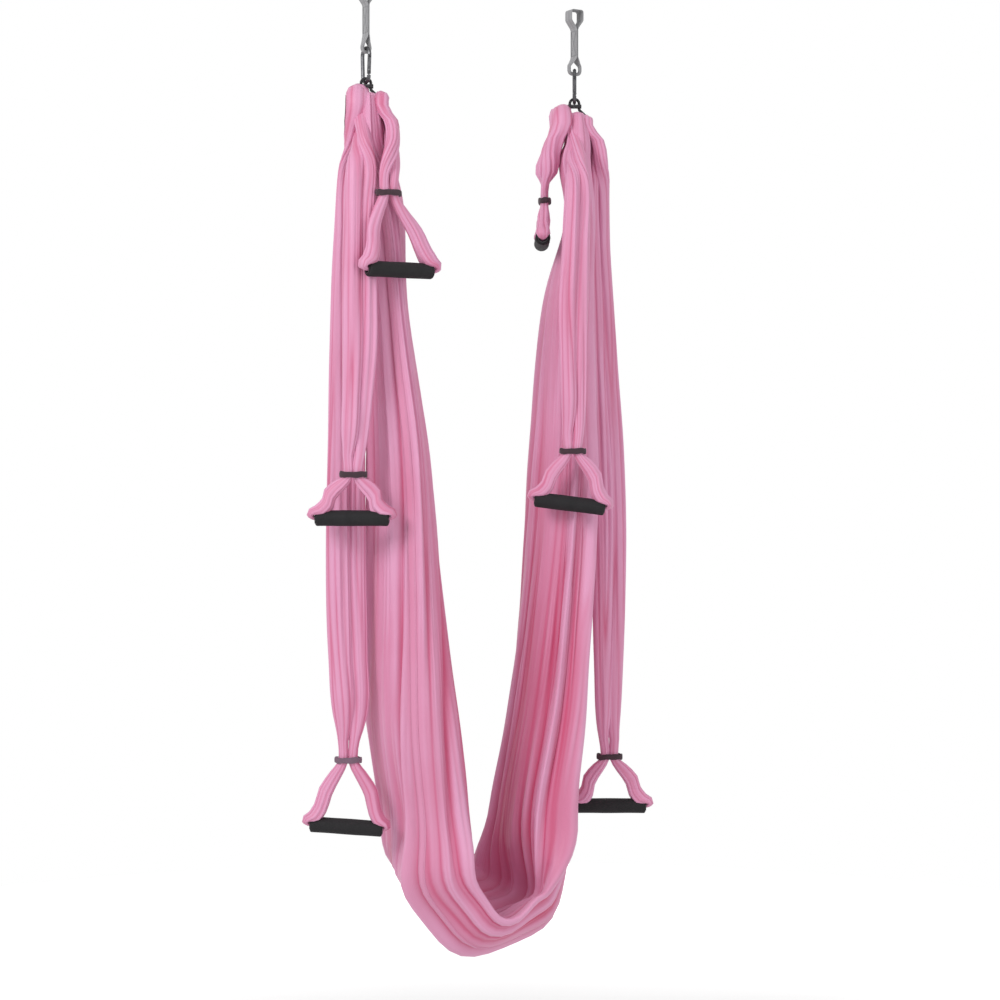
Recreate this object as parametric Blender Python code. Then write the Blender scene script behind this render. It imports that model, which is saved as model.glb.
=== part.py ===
"""An aerial hammock with six handles, as an assembly of separate solids.

A long nylon sheet hangs in a V between two ceiling straps. At each side a strap's lower pocket holds a snap
carabiner, the carabiner holds a cord sling, and the sling's bar carries one end of the sheet and three handle
straps of different length. Each handle strap is one closed loop of gathered cloth: over the bar, down through
a neck ring, and through the tube of a foam grip.

Units are metres and +Z is up. X runs from the left ceiling hook to the right one. The origin is the place on
the underside of the left strap's upper eye where the ceiling hook bears.
"""

import math

import bmesh
import bpy
from mathutils import Vector

# Whole object
hang_span = 0.386  # from the left ceiling hook to the right one
facing_deg = -31  # turn of the sling bars from X, seen from above
fit_gap = 0.0003  # between pieces that touch
cut_extra = 0.001  # how far a cutter runs past what it cuts
even_chamfer_share = 2 - math.sqrt(2)  # makes an outline of eight equal sides
bend_share = 0.97  # of a half width, for bends that come close to a half circle

# Hanging straps of webbing
web_thick = 0.0013
web_wide = 0.020
web_roll = 0.0028  # radius of the webbing where it is rolled up inside the carabiner
web_eye_half = 0.0105  # half the inner width of the upper eye
web_eye_height = 0.030
swing_drop = 0.104  # from the hook's seat to the middle of the rolled webbing
web_pocket_height = 0.026
web_bend = 0.0061  # radius of the pocket's lower corners
web_pocket_spare = {"left": 0.0003, "right": 0.0042}  # room beside the carabiner's wire

web_shoulder_share = 1.25  # of the pocket's half width, up to where its sides draw in
web_shoulder_bend_share = 0.4
web_seam_bend_share = 0.9
web_eye_shoulder_share = 0.55  # of the eye's height, down to where its sides draw in
web_eye_bend_shares = (0.9, 0.6, 0.35)  # of the eye's half width: at the seam, the side and the top
web_chamfer_share = 0.2

# Carabiners
clip_wire = 0.003  # radius
clip_length = 0.059
clip_top_half = 0.012  # from the middle to the wire's centre, at the wide end
clip_low_half = 0.0095
clip_turn_deg = {"left": -90, "right": facing_deg - 90}  # direction of the gate side
gate_hinge_rise = 0.0140  # from the lowest wire's centre to the hinge pin
gate_length = 0.0270  # from the hinge pin to the gate's upper end
gate_ear = 0.0022  # from the hinge pin to the gate's lower end
tongue_half = 0.0012  # half the thickness of the body's flattened ends
tongue_share = 0.9  # of the wire's radius, for half their width
tongue_reach = 0.0030  # from the hinge pin to the tongue's end
shoulder_drop = 0.0041  # from the hinge pin down to where the tongue starts
slot_reach = 0.0055  # from the hinge pin to the end of the gate's lower slot
nose_gap = 0.0005
nose_key = 0.0040  # how far the body's nose reaches into the gate
pin_radius = 0.0010
pin_length = 0.0066
spring_radius = 0.0011
spring_wire = 0.00022
spring_pitch = 0.0012
spring_turns = 8

# Cord slings
sling_cord = 0.0025  # radius
sling_height = 0.044  # from the cord's centre at the apex to the bar
sling_neck = 0.0076  # half the distance between the two cords under the carabiner
sling_bar_half = 0.0360
sling_corner = 0.0060
collar_half_wide = 0.0116
collar_half_deep = 0.0046
collar_height = 0.0060
collar_square_share = 0.3  # 0 is a rectangle and 1 an ellipse

# The sheet
hammock_drop = 1.333  # from the bar's centre to the lowest cloth
hammock_reach = 0.068  # half the width of a leg low down, as seen from the front
hammock_slot_half = 0.0068  # half the width of the sheet's end on the bar
hammock_roll = 0.0085  # half the thickness of the sheet's end on the bar
hammock_throat = 0.010  # from the bar's centre down to the closed cloth under it
hammock_sunk = 0.012  # how far the end's loop is sewn down inside the leg
trough_half = 0.085
trough_floor = 0.035  # from the sheet's middle line down to the underside
trough_wall = 0.018
trough_rise = 0.068  # of the edges over the middle
fold_depth = 0.0042

# The sheet's line: shares of the drop from the bar, of the span from the left hook, and of the reach
hammock_line_shares = (
    (0.050, 0.020, 0.200),
    (0.120, 0.062, 0.330),
    (0.231, 0.109, 0.505),
    (0.407, 0.142, 0.720),
    (0.581, 0.190, 0.810),
    (0.698, 0.218, 0.940),
    (0.815, 0.285, 0.955),
    (0.862, 0.311, 0.985),
    (0.930, 0.372, 1.000),
    (0.966, 0.455, 1.000),
    (0.974, 0.541, 1.000),
    (0.967, 0.630, 1.000),
    (0.935, 0.712, 1.000),
    (0.884, 0.764, 1.060),
    (0.810, 0.813, 1.000),
    (0.711, 0.860, 0.910),
    (0.587, 0.894, 0.865),
    (0.514, 0.914, 0.787),
    (0.403, 0.922, 0.680),
    (0.217, 0.952, 0.450),
    (0.120, 0.976, 0.330),
    (0.050, 0.996, 0.200),
)
hammock_narrow_share = 0.841  # of the reach, along the line between the hooks
hammock_broad_share = 1.346  # of the reach, from front to back
hammock_bundle_share = 1.9  # of the reach, from front to back in the gathered bundle
rolled_share = 0.11  # drop over which the sheet's end loop closes to a bundle
gathered_share = 0.26  # drop over which the bundle turns from the bar's plane into the legs' own
trough_start_share = 0.800
trough_end_share = 0.930
hammock_sides = 22
trough_wall_round_share = 0.6  # how round the trough's edges are: 0 is square and 1 an ellipse

# Handle straps
main_slot = 0.0045  # from the middle of the bar to the sheet
slot_half = 0.0042  # half the width of a handle strap on the bar
roll_half = {"short": 0.0036, "mid": 0.0062, "long": 0.0036}  # half its thickness there
run_half = {"short": 0.0105, "mid": 0.0120, "long": 0.0125}  # half the width of each of its two runs
run_deep = 0.0095  # half their thickness
neck_half = 0.0085
neck_deep = 0.0070
run_gap = 0.0008  # between the two runs
leg_half = 0.0095
leg_deep = 0.0050
leg_taper = 0.016  # length of a leg's narrow end beside the foam
leg_start_share = 0.2  # of a leg's length, where it has widened nearly all the way
leg_start_wide_share = 0.7
leg_middle_share = 0.5
corner_half = 0.0036
corner_deep = 0.0060
corner_radius = 0.0066
tail_radius = 0.0056  # of the cloth inside the grip's tube
tail_reach_share = 0.8  # of the grip's half length, to where that cloth is round
strap_sides = 10
run_fold_share = 0.12  # how far a strap's ridges stand out
neck_fold_share = 0.06
tail_fold_share = 0.04
spread_shares = (0.1, 0.22, 0.36, 0.5, 0.64, 0.8)  # places of a strap's outlines as it widens
run_shares = (0.2, 0.4, 0.6, 0.8, 0.92)  # and from there to the neck ring

# Neck rings
ring_half_wide = 0.0215
ring_half_deep = 0.0108
ring_wall = 0.0024
ring_height = 0.0090
ring_travel = 0.020
ring_square_share = 0.8  # 0 is a rectangle and 1 an ellipse

# Grips
grip_length = 0.112
grip_radius = 0.0125
grip_edge = 0.0030
tube_radius = 0.0085
tube_wall = 0.0015
tube_extra = 0.0010  # how far the tube stands out of the foam at each end

# Where each handle hangs: drops below the bar, and offsets from its middle to the side and towards the back
ring_drops = {
    "left_long": 1.016,
    "left_mid": 0.571,
    "left_short": 0.140,
    "right_short": 0.124,
    "right_mid": 0.535,
    "right_long": 1.038,
}
grip_reaches = {  # from the middle of the neck ring down to the grip's centre line
    "left_long": 0.104,
    "left_mid": 0.067,
    "left_short": 0.118,
    "right_short": 0.065,
    "right_mid": 0.084,
    "right_long": 0.081,
}
top_drops = (0.0, 0.024, 0.055, 0.100)  # where the offsets are given, before those at the ring and the grip
path_drops = {"short": top_drops, "mid": (*top_drops, 0.300), "long": (*top_drops, 0.300)}
asides = {
    "left_long": (-0.0163, -0.029, -0.036, -0.036, -0.035, -0.028, -0.031),
    "left_mid": (-0.0073, -0.013, -0.021, -0.027, -0.030, -0.016, -0.018),
    "left_short": (0.0162, 0.024, 0.034, 0.038, 0.038, 0.055),
    "right_short": (-0.0174, -0.0325, -0.043, -0.049, -0.049, -0.053),
    "right_mid": (-0.0071, -0.013, -0.016, -0.012, -0.010, -0.006, -0.011),
    "right_long": (0.0162, 0.024, 0.034, 0.044, 0.050, 0.058, 0.061),
}
backs = {
    "left_long": (0.0, 0.004, 0.008, 0.008, 0.006, 0.006, 0.006),
    "left_mid": (0.0, -0.010, -0.030, -0.050, -0.054, -0.054, -0.054),
    "left_short": (0.0, -0.008, -0.028, -0.052, -0.052, -0.052),
    "right_short": (0.0, 0.0, 0.0, 0.0, 0.0, 0.0),
    "right_mid": (0.0, -0.016, -0.048, -0.084, -0.100, -0.102, -0.102),
    "right_long": (0.0, 0.003, 0.006, 0.006, 0.006, 0.006, 0.006),
}
bar_turn_deg = {
    "left_long": 90,
    "left_mid": -90,
    "left_short": 90,
    "right_short": -90,
    "right_mid": -90,
    "right_long": -90,
}
grip_turn_deg = {
    "left_long": 0,
    "left_mid": 0,
    "left_short": 31,
    "right_short": -90,
    "right_mid": 0,
    "right_long": 0,
}
grip_tilt_deg = {
    "left_long": 4,
    "left_mid": 0,
    "left_short": 0,
    "right_short": 0,
    "right_mid": 7,
    "right_long": 0,
}
twist_start_drop = 0.040
twist_end_drop = 0.110
spread_drop = 0.085  # drop over which a strap widens from the bar

facing = math.radians(facing_deg)
up = Vector((0, 0, 1))
across = Vector((math.cos(facing), math.sin(facing), 0))
away = Vector((-math.sin(facing), math.cos(facing), 0))
hang = {"left": Vector((0, 0, 0)), "right": Vector((hang_span, 0, 0))}

swing_z = -swing_drop
clip_top_z = swing_z + web_roll + fit_gap + clip_wire
clip_low_z = clip_top_z - clip_length + 2 * clip_wire
apex_z = clip_low_z + clip_wire + fit_gap + sling_cord
bar_z = apex_z - sling_height
hammock_roll_ratio = (sling_cord + fit_gap + 2 * hammock_roll) / hammock_slot_half


def material(name, colour, roughness, metallic=0.0):
    """A material of one colour, which is given as linear red, green and blue."""
    made = bpy.data.materials.new(name)
    made.use_nodes = True
    shader = made.node_tree.nodes["Principled BSDF"]
    shader.inputs["Base Color"].default_value = (*colour, 1.0)
    shader.inputs["Roughness"].default_value = roughness
    shader.inputs["Metallic"].default_value = metallic
    return made


def smooth(share):
    """An even start and stop between 0 and 1."""
    share = min(1.0, max(0.0, share))
    return share * share * (3 - 2 * share)


def eased(share):
    """A quick start and an even stop between 0 and 1."""
    return 1 - (1 - min(1.0, share)) ** 2


def mix(a, b, share):
    return a + (b - a) * share


def turned_about_up(direction, angle):
    """A horizontal direction turned about +Z."""
    c, s = math.cos(angle), math.sin(angle)
    return Vector((c * direction.x - s * direction.y, s * direction.x + c * direction.y, direction.z))


def frame(name, place, parent=None):
    """An empty at a joint, with the pieces that move there parented to it."""
    empty = bpy.data.objects.new(name, None)
    empty.parent = parent
    empty["place"] = tuple(place)
    empty.location = place - Vector(parent["place"]) if parent else place
    bpy.context.collection.objects.link(empty)
    return empty


def lofted(name, rings, closed, finish, carrier):
    """A closed solid through outlines that each have as many points, as a loop or with two end faces."""
    origin = Vector(carrier["place"])
    bm = bmesh.new()
    rows = [[bm.verts.new(point - origin) for point in ring] for ring in rings]
    count = len(rows[0])
    following = rows[1:] + rows[:1] if closed else rows[1:]
    for row, after in zip(rows, following):
        for k in range(count):
            bm.faces.new((row[k], row[(k + 1) % count], after[(k + 1) % count], after[k]))
    if not closed:
        bm.faces.new(rows[0])
        bm.faces.new(rows[-1])
    bmesh.ops.recalc_face_normals(bm, faces=bm.faces)
    mesh = bpy.data.meshes.new(name)
    bm.to_mesh(mesh)
    bm.free()
    mesh.shade_smooth()
    mesh.set_sharp_from_angle(angle=math.radians(35))
    mesh.materials.append(finish)
    made = bpy.data.objects.new(name, mesh)
    made.parent = carrier
    bpy.context.collection.objects.link(made)
    return made


def oval(centre, first, second, half_first, half_second, sides, fold=0.0):
    """An oval outline. Every second point moves in and the others out by the fold's share."""
    points = []
    for k in range(sides):
        angle = 2 * math.pi * (k + 0.5) / sides
        size = 1 + (fold if k % 2 else -fold)
        points.append(
            centre
            + first * (half_first * math.cos(angle) * size)
            + second * (half_second * math.sin(angle) * size)
        )
    return points


def eight_sided(centre, first, second, half_first, half_second, chamfer):
    """An outline of eight sides. Chamfer is the share of each half that a corner takes."""
    flat = 1 - chamfer
    shares = ((1, flat), (flat, 1), (-flat, 1), (-1, flat), (-1, -flat), (-flat, -1), (flat, -1), (1, -flat))
    return [centre + first * (half_first * a) + second * (half_second * b) for a, b in shares]


def rounded_path(corners, closed):
    """Points and outward normals along straight runs joined by arcs. A corner is (x, y, radius, steps).

    The corners go anticlockwise, so that the normal on the right of the way points out of the path.
    """
    path = []
    count = len(corners)
    for k, (x, y, radius, steps) in enumerate(corners):
        here = Vector((x, y))
        if not closed and k in (0, count - 1):
            other = Vector(corners[1][:2]) - here if k == 0 else here - Vector(corners[-2][:2])
            way = other.normalized()
            path.append((here, Vector((way.y, -way.x))))
            continue
        arrive = (here - Vector(corners[k - 1][:2])).normalized()
        leave = (Vector(corners[(k + 1) % count][:2]) - here).normalized()
        turn = arrive.angle_signed(leave)
        reach = radius * math.tan(abs(turn) / 2)
        start = here - arrive * reach
        side = Vector((-arrive.y, arrive.x)) * (-1 if turn > 0 else 1)
        middle = start + side * radius
        for step in range(steps + 1):
            angle = abs(turn) * step / steps
            radial = -side * math.cos(angle) + arrive * math.sin(angle)
            path.append((middle + radial * radius, radial * (1 if turn < 0 else -1)))
    return path


def ring_of(name, outline_at, sides, finish, carrier):
    """A ring whose cross-section at each angle comes from a function."""
    rings = [outline_at(2 * math.pi * k / sides) for k in range(sides)]
    return lofted(name, rings, True, finish, carrier)


def drilled(piece, cutter_name, rings, carrier):
    """Cuts a hole or slot through a piece with a hidden cutter."""
    cutter = lofted(cutter_name, rings, False, piece.data.materials[0], carrier)
    combined(piece, cutter, "DIFFERENCE")


def combined(piece, other, operation):
    """Adds a Boolean modifier, whose other shape stays hidden."""
    other.hide_render = True
    other.display_type = "WIRE"
    boolean = piece.modifiers.new(other.name, "BOOLEAN")
    boolean.operation = operation
    boolean.object = other


def rod(start, end, radius, sides):
    """Two round outlines, from one place to the other."""
    way = (end - start).normalized()
    first = way.orthogonal().normalized()
    second = way.cross(first)
    return [oval(place, first, second, radius, radius, sides) for place in (start, end)]


def block(start, end, side, half_side, other, half_other):
    """Two square outlines, from one place to the other."""
    corners = ((1, 1), (-1, 1), (-1, -1), (1, -1))
    return [
        [place + side * (half_side * a) + other * (half_other * b) for a, b in corners]
        for place in (start, end)
    ]


def hanging_strap(where, carrier, finish):
    """Webbing sewn into an upper eye for the hook and a lower pocket that is rolled up in the carabiner."""
    seam = web_thick / 2 + fit_gap / 2
    pocket = clip_wire + web_pocket_spare[where] + fit_gap + web_roll
    eye = web_eye_half + web_thick / 2
    top = web_thick / 2
    low = swing_z
    pocket_top = low + web_pocket_height
    eye_low = -web_eye_height
    corners = [
        (-pocket, low, web_bend, 5),
        (pocket, low, web_bend, 5),
        (pocket, low + pocket * web_shoulder_share, pocket * web_shoulder_bend_share, 2),
        (seam, pocket_top, pocket * web_seam_bend_share, 2),
        (seam, eye_low, web_eye_half * web_eye_bend_shares[0], 2),
        (eye, eye_low * web_eye_shoulder_share, web_eye_half * web_eye_bend_shares[1], 2),
        (eye, top, web_eye_half * web_eye_bend_shares[2], 2),
    ]
    corners += [(-x, y, radius, steps) for x, y, radius, steps in reversed(corners[2:])]
    rings = []
    for point, normal in rounded_path(corners, True):
        flat = smooth((point.y - low - pocket) / (web_pocket_height - pocket))
        place = hang[where] + Vector((point.x, 0, point.y))
        rings.append(
            eight_sided(
                place,
                Vector((normal.x, 0, normal.y)),
                Vector((0, 1, 0)),
                mix(web_roll, web_thick / 2, flat),
                mix(web_roll, web_wide / 2, flat),
                mix(even_chamfer_share, web_chamfer_share, flat),
            )
        )
    return lofted(f"hanging_strap_{where}", rings, True, finish, carrier)


def carabiner(where, carrier, finish, pin_finish):
    """A snap carabiner: the bent wire body, its gate, the hinge pin and the gate's spring."""
    gate_way = turned_about_up(Vector((1, 0, 0)), math.radians(clip_turn_deg[where]))
    plane = gate_way.cross(up)
    base = hang[where]

    def at(x, z):
        return base + gate_way * x + up * z

    hinge_z = clip_low_z + gate_hinge_rise
    lean = (clip_top_half - clip_low_half) / (clip_length - 2 * clip_wire - clip_top_half - clip_low_half)
    hinge_x = clip_low_half + lean * (hinge_z - clip_low_z - clip_low_half)
    gate_axis = (gate_way * lean + up).normalized()
    hinge = at(hinge_x, hinge_z)
    nose_z = hinge_z + gate_length + nose_gap
    nose_x = hinge_x + lean * (gate_length + nose_gap)
    corners = [
        (hinge_x, hinge_z - shoulder_drop, 0, 0),
        (clip_low_half, clip_low_z, clip_low_half * bend_share, 5),
        (-clip_low_half, clip_low_z, clip_low_half * bend_share, 5),
        (-clip_top_half, clip_top_z, clip_top_half * bend_share, 6),
        (clip_top_half, clip_top_z, clip_top_half * bend_share, 6),
        (nose_x, nose_z, 0, 0),
    ]
    path = [(point, -normal) for point, normal in rounded_path(corners, False)]
    rings = []
    for point, normal in path:
        radial = gate_way * normal.x + up * normal.y
        rings.append(oval(at(point.x, point.y), radial, plane, clip_wire, clip_wire, 8))
    side = (gate_way - up * lean).normalized()
    tongue = clip_wire * tongue_share
    low = hinge - gate_axis * (shoulder_drop - fit_gap)
    tip = hinge + gate_axis * tongue_reach
    key_start = at(nose_x, nose_z) - gate_axis * fit_gap
    key_end = at(nose_x, nose_z) - gate_axis * nose_key
    rings = [
        oval(tip, side, plane, tongue, tongue_half, 8),
        oval(low, side, plane, tongue, tongue_half, 8),
        *rings,
        oval(key_start, side, plane, tongue, tongue_half, 8),
        oval(key_end, side, plane, tongue, tongue_half, 8),
    ]
    body = lofted(f"carabiner_body_{where}", rings, False, finish, carrier)
    hole = rod(hinge - plane * (2 * clip_wire), hinge + plane * (2 * clip_wire), pin_radius + fit_gap, 8)
    drilled(body, f"body_hole_{where}", hole, carrier)

    hinge_frame = frame(f"gate_hinge_{where}", hinge, carrier)
    ends = (hinge - gate_axis * gate_ear, hinge + gate_axis * gate_length)
    rings = [oval(place, side, plane, clip_wire, clip_wire, 12) for place in ends]
    gate = lofted(f"carabiner_gate_{where}", rings, False, finish, hinge_frame)
    slot_half_wide = tongue_half + fit_gap
    cuts = {
        "low_slot": block(
            hinge - gate_axis * (gate_ear + cut_extra),
            hinge + gate_axis * slot_reach,
            side,
            2 * clip_wire,
            plane,
            slot_half_wide,
        ),
        "top_slot": block(
            hinge + gate_axis * (gate_length - nose_key),
            hinge + gate_axis * (gate_length + cut_extra),
            side,
            2 * clip_wire,
            plane,
            slot_half_wide,
        ),
        "spring_bore": rod(
            hinge + gate_axis * (slot_reach - cut_extra),
            hinge + gate_axis * (slot_reach + spring_pitch * spring_turns),
            spring_radius + spring_wire + fit_gap,
            8,
        ),
        "pin_hole": hole,
    }
    for name, rings in cuts.items():
        drilled(gate, f"gate_{name}_{where}", rings, hinge_frame)

    half_pin = plane * (pin_length / 2)
    rings = rod(hinge - half_pin, hinge + half_pin, pin_radius, 10)
    lofted(f"gate_pin_{where}", rings, False, pin_finish, carrier)

    rings = []
    steps = 8
    spring_low = slot_reach - 2 * spring_wire
    for k in range(steps * (spring_turns - 1) + 1):
        angle = 2 * math.pi * k / steps
        radial = side * math.cos(angle) + plane * math.sin(angle)
        rise = spring_low + spring_pitch * k / steps
        rings.append(
            oval(
                hinge + gate_axis * rise + radial * spring_radius,
                radial,
                gate_axis,
                spring_wire,
                spring_wire,
                4,
            )
        )
    lofted(f"gate_spring_{where}", rings, False, pin_finish, hinge_frame)


def sling(where, carrier, finish):
    """A loop of cord: through the carabiner and a collar, then out to a bar that carries the cloth."""
    collar_top = clip_low_z - clip_wire - fit_gap
    collar_low = collar_top - collar_height
    corners = [
        (-sling_bar_half, bar_z, sling_corner, 3),
        (sling_bar_half, bar_z, sling_corner, 3),
        (sling_neck, collar_low - sling_cord, sling_cord, 2),
        (sling_neck, apex_z, sling_neck * bend_share, 3),
        (-sling_neck, apex_z, sling_neck * bend_share, 3),
        (-sling_neck, collar_low - sling_cord, sling_cord, 2),
    ]
    rings = []
    for point, normal in rounded_path(corners, True):
        place = hang[where] + across * point.x + up * point.y
        rings.append(oval(place, across * normal.x + up * normal.y, away, sling_cord, sling_cord, 8))
    lofted(f"sling_{where}", rings, True, finish, carrier)

    bore_wide = sling_neck + sling_cord + fit_gap
    bore_deep = sling_cord + 2 * fit_gap
    middle = hang[where] + up * (collar_low + collar_height / 2)
    outline = sleeve_outline(
        middle,
        across,
        collar_half_wide,
        collar_half_deep,
        bore_wide,
        bore_deep,
        collar_height,
        collar_square_share,
    )
    ring_of(f"sling_collar_{where}", outline, 16, finish, carrier)


def sleeve_outline(middle, wide_way, half_wide, half_deep, bore_wide, bore_deep, height, squareness):
    """A function that gives the cross-section of an oval sleeve at an angle."""
    deep_way = up.cross(wide_way)

    def outline(angle):
        def around(wide, deep, rise):
            c, s = math.cos(angle), math.sin(angle)
            x = math.copysign(abs(c) ** squareness, c) * wide
            y = math.copysign(abs(s) ** squareness, s) * deep
            return middle + wide_way * x + deep_way * y + up * rise

        edge = (half_deep - bore_deep) / 3
        half = height / 2
        return [
            around(bore_wide, bore_deep, -half),
            around(bore_wide, bore_deep, half),
            around(half_wide - edge, half_deep - edge, half),
            around(half_wide, half_deep, half - edge),
            around(half_wide, half_deep, edge - half),
            around(half_wide - edge, half_deep - edge, -half),
        ]

    return outline


def curve_through(keys, steps):
    """Even steps along a smooth curve through places, each a Vector."""
    points = []
    for k in range(len(keys) - 1):
        before, start = keys[max(k - 1, 0)], keys[k]
        end, after = keys[k + 1], keys[min(k + 2, len(keys) - 1)]
        for step in range(steps):
            t = step / steps
            points.append(
                0.5
                * (
                    2 * start
                    + (end - before) * t
                    + (2 * before - 5 * start + 4 * end - after) * t**2
                    + (3 * start - before - 3 * end + after) * t**3
                )
            )
    return points + [keys[-1]]


def hammock(carrier, finish):
    """The sheet: gathered at each bar, folded lengthwise in the legs, and opened to a trough at the bottom."""
    slot = across * main_slot
    keys = [Vector((hammock_throat, slot.x, hammock_slot_half))]
    keys += [
        Vector((drop * hammock_drop, run * hang_span, reach * hammock_reach))
        for drop, run, reach in hammock_line_shares
    ]
    keys.append(Vector((hammock_throat, hang_span + slot.x, hammock_slot_half)))
    line = curve_through(keys, 2)
    lowest = max(point.x for point in line) - hammock_drop + trough_floor
    rings = []
    for k, point in enumerate(line):
        ahead, behind = line[min(k + 1, len(line) - 1)], line[max(k - 1, 0)]
        way = Vector((ahead.y - behind.y, behind.x - ahead.x)).normalized()
        drop_share = point.x / hammock_drop
        gathered = 1 - smooth((point.x - hammock_throat) / (gathered_share * hammock_drop))
        opened = smooth((drop_share - trough_start_share) / (trough_end_share - trough_start_share))
        level = turned_about_up(Vector((1, 0, 0)), facing * gathered)
        narrow_way = level * -way.y + up * way.x
        broad_way = turned_about_up(Vector((0, 1, 0)), facing * gathered)
        narrow = mix(point.z * hammock_narrow_share, point.z, gathered)
        rolled = 1 - smooth((point.x - hammock_throat) / (rolled_share * hammock_drop))
        broad_ratio = mix(mix(hammock_broad_share, hammock_bundle_share, gathered), hammock_roll_ratio, rolled)
        broad = point.z * broad_ratio
        centre = Vector((point.y, slot.y * gathered, bar_z - point.x + max(0.0, lowest) * opened))
        fold = fold_depth * (1 - gathered)
        ring = []
        for side in range(hammock_sides):
            angle = 2 * math.pi * (side + 0.5) / hammock_sides
            c, s = math.cos(angle), math.sin(angle)
            wave = fold if side % 2 else -fold
            leg = (s * (narrow + wave), c * (broad + wave))
            wall = math.copysign(trough_wall / 2 * abs(s) ** trough_wall_round_share, s)
            base = trough_wall / 2 - trough_floor + trough_rise * c * c
            trough = (base + wall + wave * abs(s), c * trough_half)
            inward, sideways = (mix(a, b, opened) for a, b in zip(leg, trough))
            ring.append(centre + narrow_way * inward + broad_way * sideways)
        rings.append(ring)
    sheet = lofted("hammock_sheet", rings, False, finish, carrier)
    over = sling_cord + fit_gap + hammock_roll
    end_drop = hammock_throat + hammock_sunk
    half_turn = [math.pi * step / 6 for step in range(7)]
    path = [(over, -end_drop, 0.0)]
    path += [(over * math.cos(angle), over * math.sin(angle), angle) for angle in half_turn]
    path.append((-over, -end_drop, math.pi))
    for where in hang:
        middle = hang[where] + slot + up * bar_z
        rings = [
            oval(
                middle + away * y + up * z,
                away * math.cos(angle) + up * math.sin(angle),
                across,
                hammock_roll,
                hammock_slot_half,
                8,
            )
            for y, z, angle in path
        ]
        combined(sheet, lofted(f"sheet_end_{where}", rings, False, finish, carrier), "UNION")


def along(drops, values, drop):
    """A value at a drop, which eases from each given drop to the next."""
    for k in range(len(drops) - 1):
        if drop <= drops[k + 1]:
            return mix(values[k], values[k + 1], smooth((drop - drops[k]) / (drops[k + 1] - drops[k])))
    return values[-1]


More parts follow.
